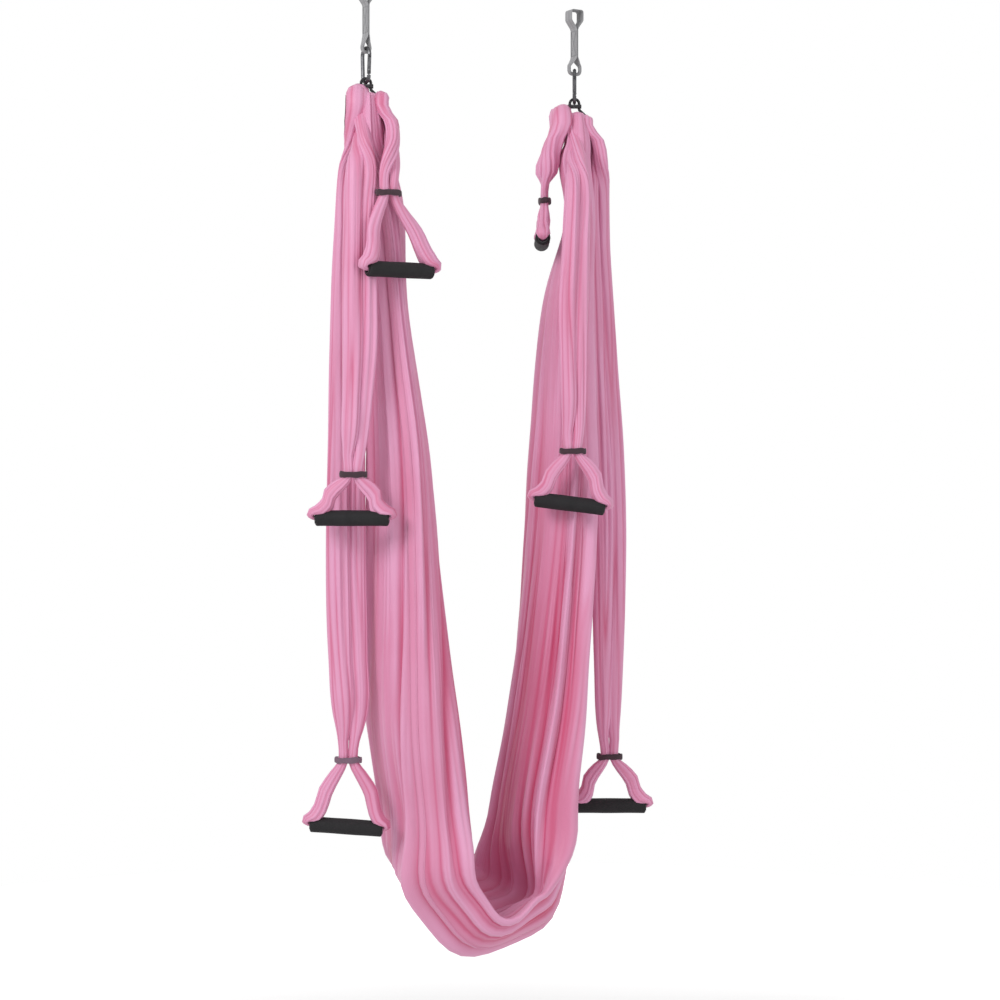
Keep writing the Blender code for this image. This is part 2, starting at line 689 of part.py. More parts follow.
def handle(key, carrier, finishes):
    """A handle: the strap's closed loop, its neck ring, and the foam grip on its tube."""
    where, size = key.split("_")
    ring_drop = ring_drops[key]
    grip_drop = ring_drop + grip_reaches[key]
    top = hang[where] + up * bar_z
    drops = (*path_drops[size], ring_drop, grip_drop)
    tilt = math.radians(grip_tilt_deg[key])

    def middle_at(drop):
        return top + across * along(drops, asides[key], drop) + away * along(drops, backs[key], drop)

    def loop_way(drop):
        share = smooth((drop - twist_start_drop) / (twist_end_drop - twist_start_drop))
        angle = math.radians(facing_deg + mix(bar_turn_deg[key], grip_turn_deg[key], share))
        return Vector((math.cos(angle), math.sin(angle), 0))

    roll = roll_half[size]
    run = run_half[size]
    over = sling_cord + fit_gap + roll
    neck_top = ring_drop - ring_travel - ring_height
    neck_low = ring_drop + ring_height / 2 + fit_gap
    half_grip = grip_length / 2 + tube_extra
    neck_offset = neck_half + run_gap / 2

    # One half of the loop: place beside the middle, drop, outward normal, the two half sizes, and the fold
    half_loop = []
    for step in range(4):
        angle = math.pi / 2 * (1 - step / 3)
        normal = (math.cos(angle), -math.sin(angle))
        half_loop.append((over * normal[0], over * normal[1], normal, roll, slot_half, 0.0, 0))
    spread_end = min(spread_drop, neck_top)
    run_length = neck_top - spread_end
    run_drops = [spread_end * share for share in spread_shares]
    if run_length > spread_end:
        run_drops += [spread_end, twist_end_drop]
        run_drops += [spread_end + run_length * share for share in run_shares]
    for drop in run_drops:
        widened = smooth(drop / spread_end)
        necked = smooth((drop - spread_end) / run_length) ** 2 if run_length > spread_end else widened
        half = mix(mix(roll, run, eased(drop / spread_end)), neck_half, necked)
        deep = mix(mix(slot_half, run_deep, eased(drop / spread_end)), neck_deep, necked)
        offset = mix(mix(over, run + run_gap / 2, widened), neck_offset, necked)
        offset = max(offset, half + run_gap / 2)
        half_loop.append((offset, drop, (1, 0), half, deep, run_fold_share * widened, 0))
    for drop in (neck_top, neck_low):
        half_loop.append((neck_offset, drop, (1, 0), neck_half, neck_deep, neck_fold_share, 0))
    corner = Vector((half_grip + fit_gap, grip_drop - corner_radius))
    towards_neck = Vector((neck_offset, neck_low)) - corner
    bearing = math.atan2(-towards_neck.y, towards_neck.x)
    last = bearing - math.acos(corner_radius / towards_neck.length)
    leg_end = corner + Vector((math.cos(last), -math.sin(last))) * corner_radius
    neck_end = Vector((neck_offset, neck_low))
    leg_length = (leg_end - neck_end).length
    start_half = mix(neck_half, leg_half, leg_start_wide_share)
    start_deep = mix(neck_deep, leg_deep, leg_start_wide_share)
    for share, wide, deep in (
        (leg_start_share, start_half, start_deep),
        (leg_middle_share, leg_half, leg_deep),
        (1 - leg_taper / leg_length, corner_half, corner_deep),
    ):
        place = neck_end.lerp(leg_end, share)
        normal = (math.cos(last), -math.sin(last))
        half_loop.append((place.x, place.y, normal, wide, deep, run_fold_share, smooth(share)))
    for step in range(4):
        angle = mix(last, -math.pi / 2, step / 3)
        normal = (math.cos(angle), -math.sin(angle))
        place = corner + Vector(normal) * corner_radius
        half_loop.append((place.x, place.y, normal, corner_half, corner_deep, tail_fold_share, 1))
    tail = (grip_drop, (0, 1), tail_radius, tail_radius, tail_fold_share, 1)
    half_loop.append((half_grip * tail_reach_share, *tail))

    grip_middle = middle_at(grip_drop) - up * grip_drop

    def station(beside, drop, normal, half, deep, fold, at_grip, sign):
        way = loop_way(drop)
        turned = tilt * at_grip
        x, y = beside * sign, drop - grip_drop
        x, y = x * math.cos(turned) - y * math.sin(turned), x * math.sin(turned) + y * math.cos(turned)
        nx, ny = normal[0] * sign, normal[1]
        nx, ny = nx * math.cos(turned) - ny * math.sin(turned), nx * math.sin(turned) + ny * math.cos(turned)
        place = middle_at(drop) - up * grip_drop + way * x - up * y
        return oval(place, way * nx - up * ny, up.cross(way), half, deep, strap_sides, fold)

    rings = [station(*row, 1) for row in half_loop]
    rings.append(station(0.0, *tail, 1))
    rings += [station(*row, -1) for row in reversed(half_loop[1:])]
    strap_frame = frame(f"strap_swing_{key}", top, carrier)
    lofted(f"strap_{key}", rings, True, finishes["cloth"], strap_frame)

    ring_middle = middle_at(ring_drop) - up * ring_drop
    ring_frame = frame(f"ring_slide_{key}", ring_middle, strap_frame)
    outline = sleeve_outline(
        ring_middle,
        loop_way(ring_drop),
        ring_half_wide,
        ring_half_deep,
        ring_half_wide - ring_wall,
        ring_half_deep - ring_wall,
        ring_height,
        ring_square_share,
    )
    ring_of(f"neck_ring_{key}", outline, 16, finishes["ring"], ring_frame)

    grip_frame = frame(f"grip_spin_{key}", grip_middle, strap_frame)
    way = loop_way(grip_drop) * math.cos(tilt) - up * math.sin(tilt)
    upright = up.cross(way).cross(way)
    level = up.cross(way).normalized()

    def turned_part(profile):
        def outline_at(angle):
            radial = level * math.cos(angle) + upright.normalized() * math.sin(angle)
            return [grip_middle + way * x + radial * radius for x, radius in profile]

        return outline_at

    half = grip_length / 2
    bore = tube_radius + fit_gap
    foam = [
        (-half, bore),
        (half, bore),
        (half, grip_radius - grip_edge),
        (half - grip_edge, grip_radius),
        (grip_edge - half, grip_radius),
        (-half, grip_radius - grip_edge),
    ]
    ring_of(f"grip_foam_{key}", turned_part(foam), 20, finishes["foam"], grip_frame)
    half = half_grip
    inner = tube_radius - tube_wall
    tube = [(-half, inner), (half, inner), (half, tube_radius), (-half, tube_radius)]
    ring_of(f"grip_tube_{key}", turned_part(tube), 12, finishes["tube"], grip_frame)


def clear_scene():
    for item in list(bpy.data.objects):
        bpy.data.objects.remove(item, do_unlink=True)


def main():
    clear_scene()
    cloth = material("pink_nylon", (0.69, 0.26, 0.45), 0.45)
    webbing = material("grey_webbing", (0.34, 0.34, 0.35), 0.8)
    cord = material("black_cord", (0.015, 0.015, 0.017), 0.7)
    steel = material("dark_steel", (0.22, 0.22, 0.23), 0.35, 1.0)
    pin_steel = material("bright_steel", (0.50, 0.50, 0.51), 0.3, 1.0)
    finishes = {
        "cloth": cloth,
        "ring": material("plum_elastic", (0.055, 0.022, 0.035), 0.6),
        "foam": material("black_foam", (0.022, 0.020, 0.023), 0.85),
        "tube": material("black_plastic", (0.03, 0.03, 0.032), 0.4),
    }
    ceiling = frame("ceiling", Vector((0, 0, 0)))
    swing = frame("hammock_swing", up * swing_z, ceiling)
    for where in hang:
        hanging_strap(where, ceiling, webbing)
        carabiner(where, swing, steel, pin_steel)
        sling(where, swing, cord)
    hammock(swing, cloth)
    for key in ring_drops:
        handle(key, swing, finishes)


main()
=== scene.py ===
# %% [markdown]
# # An aerial yoga hammock with six handles
#
# The real object is a nylon sheet that hangs in a V between two ceiling straps. At each side a snap
# carabiner holds a cord sling, and the gathered end of the sheet is pushed together on the sling's bar
# beside three handle straps. Each handle strap is a loop of the same cloth with an elastic neck ring and a
# foam grip.
#
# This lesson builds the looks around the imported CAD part. All lengths are in metres and +Z is up.

import math

import bpy
import numpy as np
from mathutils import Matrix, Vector


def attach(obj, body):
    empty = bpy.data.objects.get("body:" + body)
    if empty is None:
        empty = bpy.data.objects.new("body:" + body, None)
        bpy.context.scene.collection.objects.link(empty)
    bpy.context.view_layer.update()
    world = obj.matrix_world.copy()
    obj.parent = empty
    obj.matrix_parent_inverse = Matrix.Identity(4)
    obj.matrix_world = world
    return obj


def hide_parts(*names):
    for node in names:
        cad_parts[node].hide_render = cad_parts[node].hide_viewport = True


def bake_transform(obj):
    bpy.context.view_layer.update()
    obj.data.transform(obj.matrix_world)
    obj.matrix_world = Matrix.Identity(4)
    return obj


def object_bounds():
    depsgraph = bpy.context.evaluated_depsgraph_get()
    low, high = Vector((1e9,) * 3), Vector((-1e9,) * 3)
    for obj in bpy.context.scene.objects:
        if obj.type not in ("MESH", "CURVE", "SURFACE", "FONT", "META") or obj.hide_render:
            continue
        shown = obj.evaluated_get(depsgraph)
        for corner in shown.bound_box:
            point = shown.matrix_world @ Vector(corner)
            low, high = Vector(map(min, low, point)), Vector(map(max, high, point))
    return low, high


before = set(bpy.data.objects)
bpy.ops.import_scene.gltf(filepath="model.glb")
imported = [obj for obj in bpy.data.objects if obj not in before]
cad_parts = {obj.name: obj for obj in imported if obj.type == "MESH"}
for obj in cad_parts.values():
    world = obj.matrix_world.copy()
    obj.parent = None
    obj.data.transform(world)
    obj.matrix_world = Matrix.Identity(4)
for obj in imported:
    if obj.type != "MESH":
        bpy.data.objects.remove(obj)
cad_low, cad_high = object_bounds()
print("CAD box", [round(x, 4) for x in (*cad_low, *cad_high)])

# %% [markdown]
# ## The photographer's view
#
# The camera stands a little to the left of the hammock and far away, level with its upper half, because the
# left side hangs lower in the picture than the right one and the trough is seen slightly from above.

# %% Directions, camera and light
facing = math.radians(-31)
across = np.array((math.cos(facing), math.sin(facing), 0.0))  # to the right in the picture
away = np.array((-math.sin(facing), math.cos(facing), 0.0))  # away from the camera
up = np.array((0.0, 0.0, 1.0))
hang_span = 0.386
hang = {"left": np.zeros(3), "right": np.array((hang_span, 0.0, 0.0))}
camera_distance = 3.52
eye_level = -0.732

scene = bpy.context.scene
scene.view_settings.view_transform = "Standard"
scene.render.film_transparent = False

camera = bpy.data.objects.new("camera", bpy.data.cameras.new("camera"))
camera.data.lens = 79.2
camera.data.sensor_width = 36
camera.data.shift_y = -0.044
looked_at = np.array((hang_span / 2, 0.0, eye_level)) + across * 0.0430
camera.location = looked_at - away * camera_distance
camera.rotation_euler = Vector(away).to_track_quat("-Z", "Y").to_euler()
scene.collection.objects.link(camera)
scene.camera = camera


def area_light(name, place, target, size, power):
    lamp = bpy.data.lights.new(name, "AREA")
    lamp.shape = "DISK"
    lamp.size = size
    lamp.energy = power
    holder = bpy.data.objects.new(name, lamp)
    holder.location = place
    holder.rotation_euler = (Vector(target) - Vector(place)).to_track_quat("-Z", "Y").to_euler()
    scene.collection.objects.link(holder)


centre = np.array((hang_span / 2, 0.0, -0.75))
area_light("key", centre - away * 2.6 - across * 2.2 + up * 1.9, centre, 1.6, 62)
area_light("fill", centre - away * 3.0 + across * 2.4 + up * 0.3, centre, 2.2, 22)
print("camera", [round(x, 3) for x in camera.location])

# %% [markdown]
# ## A white room
#
# The object hangs in front of a pure white background and over a floor that fades into it. If that white lit
# the cloth as well, its folds would lose their shade. So the world is made twice: the camera sees a white
# one, and the light that falls on the object comes from a dimmer one. Its nodes, and those of every material
# here, are made with the next few functions: a node is added, and its inputs are given values or linked.


# %% The world
def joined(tree, kind, settings=None, **inputs):
    """A node with its inputs, by name or as _0 and so on by place, set to values or linked to sockets."""
    node = tree.nodes.new(kind)
    for name, value in (settings or {}).items():
        setattr(node, name, value)
    for name, value in inputs.items():
        socket = node.inputs[int(name[1:])] if name[0] == "_" else node.inputs[name.replace("_", " ")]
        if isinstance(value, bpy.types.NodeSocket):
            tree.links.new(value, socket)
        else:
            socket.default_value = value
    return node


def tree_of(*values):
    """The tree that the first socket among some values is in."""
    return next(value.id_data for value in values if isinstance(value, bpy.types.NodeSocket))


def maths(operation, a, b=0.0, c=0.0, clamp=False):
    settings = {"operation": operation, "use_clamp": clamp}
    return joined(tree_of(a, b, c), "ShaderNodeMath", settings, _0=a, _1=b, _2=c).outputs[0]


def seen_rays(tree):
    """1 for the rays by which the camera sees something: straight on, mirrored in metal or through glass."""
    rays = joined(tree, "ShaderNodeLightPath").outputs
    either = maths("MAXIMUM", rays["Is Camera Ray"], rays["Is Glossy Ray"])
    return maths("MAXIMUM", either, rays["Is Transmission Ray"])


white = (1, 1, 1, 1)
world = bpy.data.worlds.new("studio")
scene.world = world
world.use_nodes = True
tree = world.node_tree
tree.nodes.clear()
seen = joined(tree, "ShaderNodeBackground", Color=white).outputs[0]
lighting = joined(tree, "ShaderNodeBackground", Color=white, Strength=0.62).outputs[0]
chosen = joined(tree, "ShaderNodeMixShader", _0=seen_rays(tree), _1=lighting, _2=seen).outputs[0]
joined(tree, "ShaderNodeOutputWorld", Surface=chosen)
print("world ready with", len(world.node_tree.nodes), "nodes")

# %% A pale floor
full_turn = 2 * math.pi


def round_angles(count):
    """So many even steps of a full turn."""
    return np.linspace(0, full_turn, count, endpoint=False)


def own_place(tree):
    return joined(tree, "ShaderNodeTexCoord").outputs["Object"]


def plain_material(name, **values):
    """A material with its Principled shader's own sockets set, and its tree."""
    made = bpy.data.materials.new(name)
    made.use_nodes = True
    for label, value in values.items():
        made.node_tree.nodes["Principled BSDF"].inputs[label.replace("_", " ")].default_value = value
    return made, made.node_tree


floor_drop, floor_radius, floor_first_ring = 0.30, 2.4, 0.3
floor_rings, floor_sides = 12, 48
floor_z = cad_low[2] - floor_drop
floor_points = [(centre[0], 0.0, floor_z)]
for radius in np.linspace(floor_first_ring, floor_radius, floor_rings):
    for t in round_angles(floor_sides):
        floor_points.append((radius * math.cos(t) + centre[0], radius * math.sin(t), floor_z))
floor_faces = [(0, 1 + k, 1 + (k + 1) % floor_sides) for k in range(floor_sides)]
for low in range(1, 1 + floor_sides * (floor_rings - 1), floor_sides):
    high = low + floor_sides
    for k in range(floor_sides):
        k_next = (k + 1) % floor_sides
        floor_faces.append((low + k, high + k, high + k_next, low + k_next))
floor_mesh = bpy.data.meshes.new("floor")
floor_mesh.from_pydata(floor_points, [], floor_faces)
floor = bpy.data.objects.new("floor", floor_mesh)
scene.collection.objects.link(floor)
# The camera sees the floor a little brighter than it is lit, and white towards its rim
colours = {"Base_Color": (0.86, 0.86, 0.86, 1), "Emission_Color": white}
floor_paint, tree = plain_material("pale_floor", Roughness=0.9, Specular_IOR_Level=0.2, **colours)
settings = {"operation": "DISTANCE"}
far = joined(tree, "ShaderNodeVectorMath", settings, _0=own_place(tree), _1=(centre[0], 0.0, floor_z))
limits = {"From_Min": 0.9, "From_Max": floor_radius * 0.92, "To_Min": 0.25, "To_Max": 1.0}
lift = joined(tree, "ShaderNodeMapRange", Value=far.outputs["Value"], **limits).outputs[0]
lift = maths("MULTIPLY", lift, seen_rays(tree))
tree.links.new(lift, tree.nodes["Principled BSDF"].inputs["Emission Strength"])
floor_mesh.materials.append(floor_paint)
print("floor", len(floor_faces), "faces at", round(floor_z, 3))

# %% [markdown]
# ## Ways to make a mesh
#
# All the cloth here is made in one way. A path is followed, and at each of its stations an outline is laid
# across it. The next functions turn such a grid of points into a mesh, give it lengths along and across the
# cloth as UV, and give a smooth curve through a few given places.


# %% Grids, smooth steps and curves
def smooth(share):
    share = np.clip(share, 0.0, 1.0)
    return share * share * (3 - 2 * share)


def mix(a, b, share):
    return a + (b - a) * share


def unit(v):
    return v / np.maximum(np.linalg.norm(v, axis=-1, keepdims=True), 1e-12)


def through(keys, steps):
    """A smooth curve through rows of numbers, with so many steps from each to the next."""
    keys = np.asarray(keys, float)
    ends = np.vstack([keys[:1], keys, keys[-1:]])
    t = (np.arange(steps) / steps)[:, None]
    parts = []
    for k in range(len(keys) - 1):
        a, b, c, d = ends[k : k + 4]
        bend = 2 * b + (c - a) * t + (2 * a - 5 * b + 4 * c - d) * t**2 + (3 * b - a - 3 * c + d) * t**3
        parts.append(bend / 2)
    return np.vstack([*parts, keys[-1:]])


def lengths(points, closed=False):
    """The length along a row of points at each of them, and back at the first one if the row is closed."""
    points = np.vstack([points, points[:1]]) if closed else points
    steps = np.linalg.norm(np.diff(points, axis=0), axis=1)
    return np.concatenate([[0.0], np.cumsum(steps)])


def evenly(rows, places, count):
    """The rows again, with so many of them at even steps along the places."""
    at = lengths(places)
    wanted = np.linspace(0, at[-1], count)
    return np.stack([np.interp(wanted, at, rows[:, k]) for k in range(rows.shape[1])], axis=1)


def grid_object(name, points, uv=None, closed=(False, False), finish=None, shares=None):
    """A smooth mesh through a grid of points. Closed says whether it joins up along and across."""
    rows, columns = points.shape[:2]
    i = np.arange(rows if closed[0] else rows - 1)[:, None]
    j = np.arange(columns if closed[1] else columns - 1)[None, :]

    def corners(i_next, j_next, width):
        """Each face's four corners, counted through a grid of that width."""
        four = (i * width + j, i * width + j_next, i_next * width + j_next, i_next * width + j)
        return np.stack(four, axis=-1).reshape(-1, 4)

    mesh = bpy.data.meshes.new(name)
    faces = corners((i + 1) % rows, (j + 1) % columns, columns)
    mesh.from_pydata(points.reshape(-1, 3).tolist(), [], faces.tolist())
    mesh.shade_smooth()
    if uv is not None:
        along, over = np.meshgrid(*uv, indexing="ij")
        at = corners(i + 1, j + 1, len(uv[1])).ravel()
        values = np.stack([over.ravel(), along.ravel()], axis=1)[at]
        mesh.uv_layers.new(name="cloth").data.foreach_set("uv", values.astype(np.float32).ravel())
    # The shares are a painted crease shade, stored as the fold attribute that the nylon reads
    if shares is not None:
        layer = mesh.attributes.new("fold", "FLOAT", "POINT")
        layer.data.foreach_set("value", shares.astype(np.float32).ravel())
    if finish is not None:
        mesh.materials.append(finish)
    made = bpy.data.objects.new(name, mesh)
    scene.collection.objects.link(made)
    return made


print("mesh helpers ready")

# %% [markdown]
# ## Folds
#
# Gathered cloth has long folds that run along it, merge and part again. A sum of waves round the bundle,
# each of which drifts slowly along it, has the same look: where the sum crosses zero there is a sharp
# crease, and between two creases the cloth is a rounded ridge.


# %% Long folds from drifting waves
class Folds:
    """Ridges of height 0 to about 1 round a bundle. Angle is round it and along is a length in metres."""

    def __init__(self, seed, fewest, most, drift, waves=9, fall=0.0):
        chance = np.random.RandomState(seed)
        self.counts = chance.randint(fewest, most + 1, waves)
        self.drifts = chance.normal(0, drift, waves)
        self.phases = chance.uniform(0, full_turn, waves)
        self.sizes = chance.uniform(0.5, 1.0, waves) * self.counts**-fall
        self.sizes /= math.sqrt((self.sizes**2).sum() / 2)

    def waves(self, angle, along):
        total = 0.0
        for count, drift, phase, size in zip(self.counts, self.drifts, self.phases, self.sizes):
            total = total + size * np.cos(count * angle + drift * along + phase)
        return total

    def ridges(self, angle, along, soft=0.25):
        return np.sqrt(self.waves(angle, along) ** 2 + soft**2) - soft


print("folds ready")

# %% [markdown]
# ## Pink nylon
#
# The cloth is a light satin nylon jersey. Seen closely it has fine knitted ribs along its length and small
# crinkles from being gathered. Light that enters a crease goes from pink wall to pink wall and comes out
# redder, and that shade is painted into the colour: paler on a ridge and deeper in a crease. One node group
# gives all of that from the cloth's own UV, which is in metres, and from a painted shade share that follows
# the height of the fold.


# %% Node helpers
def new_tree(name, kind, inputs, outputs):
    """A node group with its inputs (name, type, value), its outputs (name, type) and its two end nodes."""
    tree = bpy.data.node_groups.new(name, kind)
    for label, socket_kind, value in inputs:
        socket = tree.interface.new_socket(label, in_out="INPUT", socket_type="NodeSocket" + socket_kind)
        if value is not None:
            socket.default_value = value
    for label, socket_kind in outputs:
        tree.interface.new_socket(label, in_out="OUTPUT", socket_type="NodeSocket" + socket_kind)
    return tree, tree.nodes.new("NodeGroupInput").outputs, tree.nodes.new("NodeGroupOutput").inputs


def above(value, level, gain):
    """How far a value is above a level, times a gain, held between 0 and 1."""
    return maths("MULTIPLY", maths("SUBTRACT", value, level), gain, clamp=True)


def blended(share, a, b):
    """A mix of two colours, each a socket or three numbers."""
    a, b = (colour if isinstance(colour, bpy.types.NodeSocket) else (*colour, 1) for colour in (a, b))
    return joined(tree_of(share), "ShaderNodeMix", {"data_type": "RGBA"}, _0=share, _6=a, _7=b).outputs[2]


def vector_maths(operation, a, **b):
    return joined(tree_of(a), "ShaderNodeVectorMath", {"operation": operation}, _0=a, **b).outputs[0]


def noise(vector, scale, detail=3.0, roughness=0.5):
    inputs = {"Vector": vector, "Scale": scale, "Detail": detail, "Roughness": roughness}
    return joined(tree_of(vector), "ShaderNodeTexNoise", {"noise_dimensions": "3D"}, **inputs).outputs[0]


def bands(vector, way, scale, distortion=0.0):
    settings = {"wave_type": "BANDS", "bands_direction": way}
    inputs = {"Vector": vector, "Scale": scale, "Distortion": distortion}
    return joined(tree_of(vector), "ShaderNodeTexWave", settings, **inputs).outputs["Fac"]


def cloth_uv(tree):
    return joined(tree, "ShaderNodeUVMap", {"uv_map": "cloth"}).outputs[0]


def finished(colour, roughness=None, height=None, strength=0.5, distance=0.0001):
    """Links the Principled shader's colour, roughness and bump."""
    tree = colour.id_data
    shader = tree.nodes["Principled BSDF"].inputs
    tree.links.new(colour, shader["Base Color"])
    if roughness is not None:
        tree.links.new(roughness, shader["Roughness"])
    if height is not None:
        bump = joined(tree, "ShaderNodeBump", Strength=strength, Distance=distance, Height=height)
        tree.links.new(bump.outputs[0], shader["Normal"])


print("node helpers ready")

# %% The nylon's node group and material
tree, given, out = new_tree(
    "nylon_surface",
    "ShaderNodeTree",
    [
        ("Cloth", "Vector", None),
        ("Place", "Vector", None),
        # This share is a painted crease shade: 0 in a deep crease and 1 on a ridge
        ("Fold", "Float", 1.0),
        ("Ridge colour", "Color", (0.8, 0.4, 0.6, 1)),
        ("Crease colour", "Color", (0.5, 0.1, 0.2, 1)),
        ("Rib width", "Float", 0.0011),
    ],
    [("Colour", "Color"), ("Roughness", "Float"), ("Height", "Float")],
)
crinkle = noise(vector_maths("MULTIPLY", given["Cloth"], _1=(260, 34, 0)), 1.0, 4.0, 0.6)
streak = noise(vector_maths("MULTIPLY", given["Cloth"], _1=(90, 2.2, 0)), 1.0, 2.0)
cloud = noise(given["Place"], 7.0, 2.0)
# At a scale of 0.314 a band texture repeats once in each metre, so this gives one rib in each rib's width
ribs = bands(given["Cloth"], "X", maths("DIVIDE", 0.314, given["Rib width"]))
courses = bands(given["Cloth"], "Y", maths("DIVIDE", 0.22, given["Rib width"]), 1.5)
# Painted shade: with random streaks, this share mixes the painted crease shade colour into the creases
shade_and_streaks = maths("MULTIPLY_ADD", maths("SUBTRACT", streak, 0.5), 0.5, given["Fold"], clamp=True)
toned = blended(shade_and_streaks, given["Crease colour"], given["Ridge colour"])
mottled = blended(above(cloud, 0.42, 0.5), toned, given["Crease colour"])
ribbed = blended(maths("MULTIPLY", ribs, 0.05), mottled, (1, 0.86, 0.93))
crinkle_height = maths("MULTIPLY", crinkle, 0.9)
knit = maths("MULTIPLY_ADD", maths("MULTIPLY", ribs, courses), 0.10, crinkle_height)
tree.links.new(ribbed, out["Colour"])
tree.links.new(maths("MULTIPLY_ADD", crinkle, 0.18, 0.36), out["Roughness"])
tree.links.new(knit, out["Height"])


def nylon_material(name, ridge, crease):
    sheen = {"Sheen_Weight": 0.12, "Sheen_Roughness": 0.45, "Sheen_Tint": (1.0, 0.80, 0.92, 1)}
    made, tree = plain_material(name, Specular_IOR_Level=0.30, **sheen)
    # The mesh's fold attribute holds the painted crease shade share
    surface = joined(
        tree,
        "ShaderNodeGroup",
        {"node_tree": bpy.data.node_groups["nylon_surface"]},
        Cloth=cloth_uv(tree),
        Place=own_place(tree),
        Fold=joined(tree, "ShaderNodeAttribute", {"attribute_name": "fold"}).outputs["Fac"],
        Ridge_colour=(*ridge, 1),
        Crease_colour=(*crease, 1),
    ).outputs
    finished(surface["Colour"], surface["Roughness"], surface["Height"], distance=0.0012)
    return made


# The first colour is the pink on a ridge, and the second is a painted shade, deeper and redder, for the
# creases
pink = nylon_material("pink_satin_nylon", (0.76, 0.345, 0.540), (0.57, 0.060, 0.165))
print("nylon ready")

# %% [markdown]
# ## The sheet
#
# Laid flat the sheet is about 1.25 m wide and 2.8 m long. Gathered lengthwise it makes a bundle, which here
# is the cloth wound loosely round itself: one turn lies outside and shows, and the rest lies inside it. The
# outside turn has all the folds. In each leg the bundle is an oval, at the bottom it opens to a trough with
# an edge at the front and one at the back, and at the ends it closes to a pleated dome round the sling's
# bar.

# %% The sheet's line, from the left bar to the right one
bar_z = -0.1891  # the height of the middle of both slings' bars
slot = across * 0.0045  # how far beside the bar's middle the sheet's ends are
sheet_drop, sheet_reach = 1.333, 0.068
throat = 0.010  # the drop from which the bundle widens and turns
# Drop, run to the right and half thickness as shares: down the left leg, along the trough, up the right leg
line_shares = (
    (0.052, 0.018, 0.350), (0.116, 0.084, 0.415), (0.236, 0.095, 0.481), (0.403, 0.145, 0.712),
    (0.578, 0.184, 0.846), (0.717, 0.217, 1.022), (0.839, 0.271, 0.978), (0.900, 0.250, 1.262),
    (0.928, 0.327, 1.039), (0.972, 0.446, 0.996), (0.968, 0.561, 0.998), (0.959, 0.678, 0.990),
    (0.955, 0.785, 1.042), (0.908, 0.789, 1.048), (0.843, 0.792, 0.936), (0.718, 0.860, 0.870),
    (0.588, 0.889, 0.767), (0.514, 0.904, 0.735), (0.395, 0.923, 0.698), (0.225, 0.957, 0.562),
    (0.121, 1.024, 0.360), (0.052, 0.997, 0.383),
)
dome_drops = (-0.0235, -0.0225, -0.0175, -0.006, 0.012, 0.035)
dome_reaches = (0.0006, 0.0060, 0.0115, 0.0155, 0.0185, 0.0220)
dome = list(zip(dome_drops, dome_reaches))
keys = [(drop, slot[0], reach) for drop, reach in dome]
keys += [(drop * sheet_drop, run * hang_span, reach * sheet_reach) for drop, run, reach in line_shares]
keys += [(drop, hang_span + slot[0], reach) for drop, reach in reversed(dome)]
fine_line = through(keys, 24)
fine_line = evenly(fine_line, fine_line[:, :2], 1400)
fine_at = lengths(fine_line[:, :2])
ends_near = np.minimum(fine_at, fine_at[-1] - fine_at)
for part in range(3):  # cloth has no sharp bends, so the line is evened out away from its ends
    even = np.convolve(np.pad(fine_line[:, part], 30, mode="edge"), np.hanning(63)[1:-1] / 31, mode="valid")
    fine_line[:, part] = mix(fine_line[:, part], even, smooth(ends_near / 0.15 - 0.4))
least_spacing, most_spacing = 0.0035, 0.019
spacing = mix(least_spacing, most_spacing, smooth(ends_near / 0.25))
measure = np.concatenate([[0.0], np.cumsum(np.diff(fine_at) / (spacing[1:] + spacing[:-1]) * 2)])
row_count = int(measure[-1])
wanted = np.linspace(0, measure[-1], row_count)
sheet_line = np.stack([np.interp(wanted, measure, fine_line[:, k]) for k in range(3)], axis=1)
sheet_at = np.interp(wanted, measure, fine_at)
print("the sheet's line is", round(fine_at[-1], 3), "m long in", row_count, "rows")


# %% Where a point of the bundle lies
def wound(outer_columns, follow_columns, inner_columns, turns, inner_share, step=0.05):
    """The turn angle and size of a cloth's columns, from its outer edge inwards."""
    follow = 1.3  # radians of the second turn, under the edge, that have as many columns as the first one
    angle = np.concatenate(
        [
            round_angles(outer_columns),
            full_turn + np.linspace(0, follow, follow_columns, endpoint=False),
            full_turn + np.linspace(follow, full_turn * (turns - 1), inner_columns),
        ]
    )
    size = 1 - step * np.minimum(angle, full_turn + 0.5) / full_turn
    size -= (1 - step - inner_share) * smooth((angle - full_turn - 0.4) / (full_turn * (turns - 1) - 0.4))
    return angle, size


# Shares of the drop over which a leg, from its top down, turns away from the bar, and is no longer rolled
turning_share, rolled_share = 0.26, 0.11
# Shares of the drop at which a leg begins to open to the trough, and over which it does
left_opening, right_opening = (0.820, 0.135), (0.845, 0.120)
# Half of the bundle's narrow and broad way, as shares of its reach
leg_narrow, leg_broad, gathered_broad, rolled_broad = 0.841, 1.346, 1.9, 1.75
slow_rows = 10


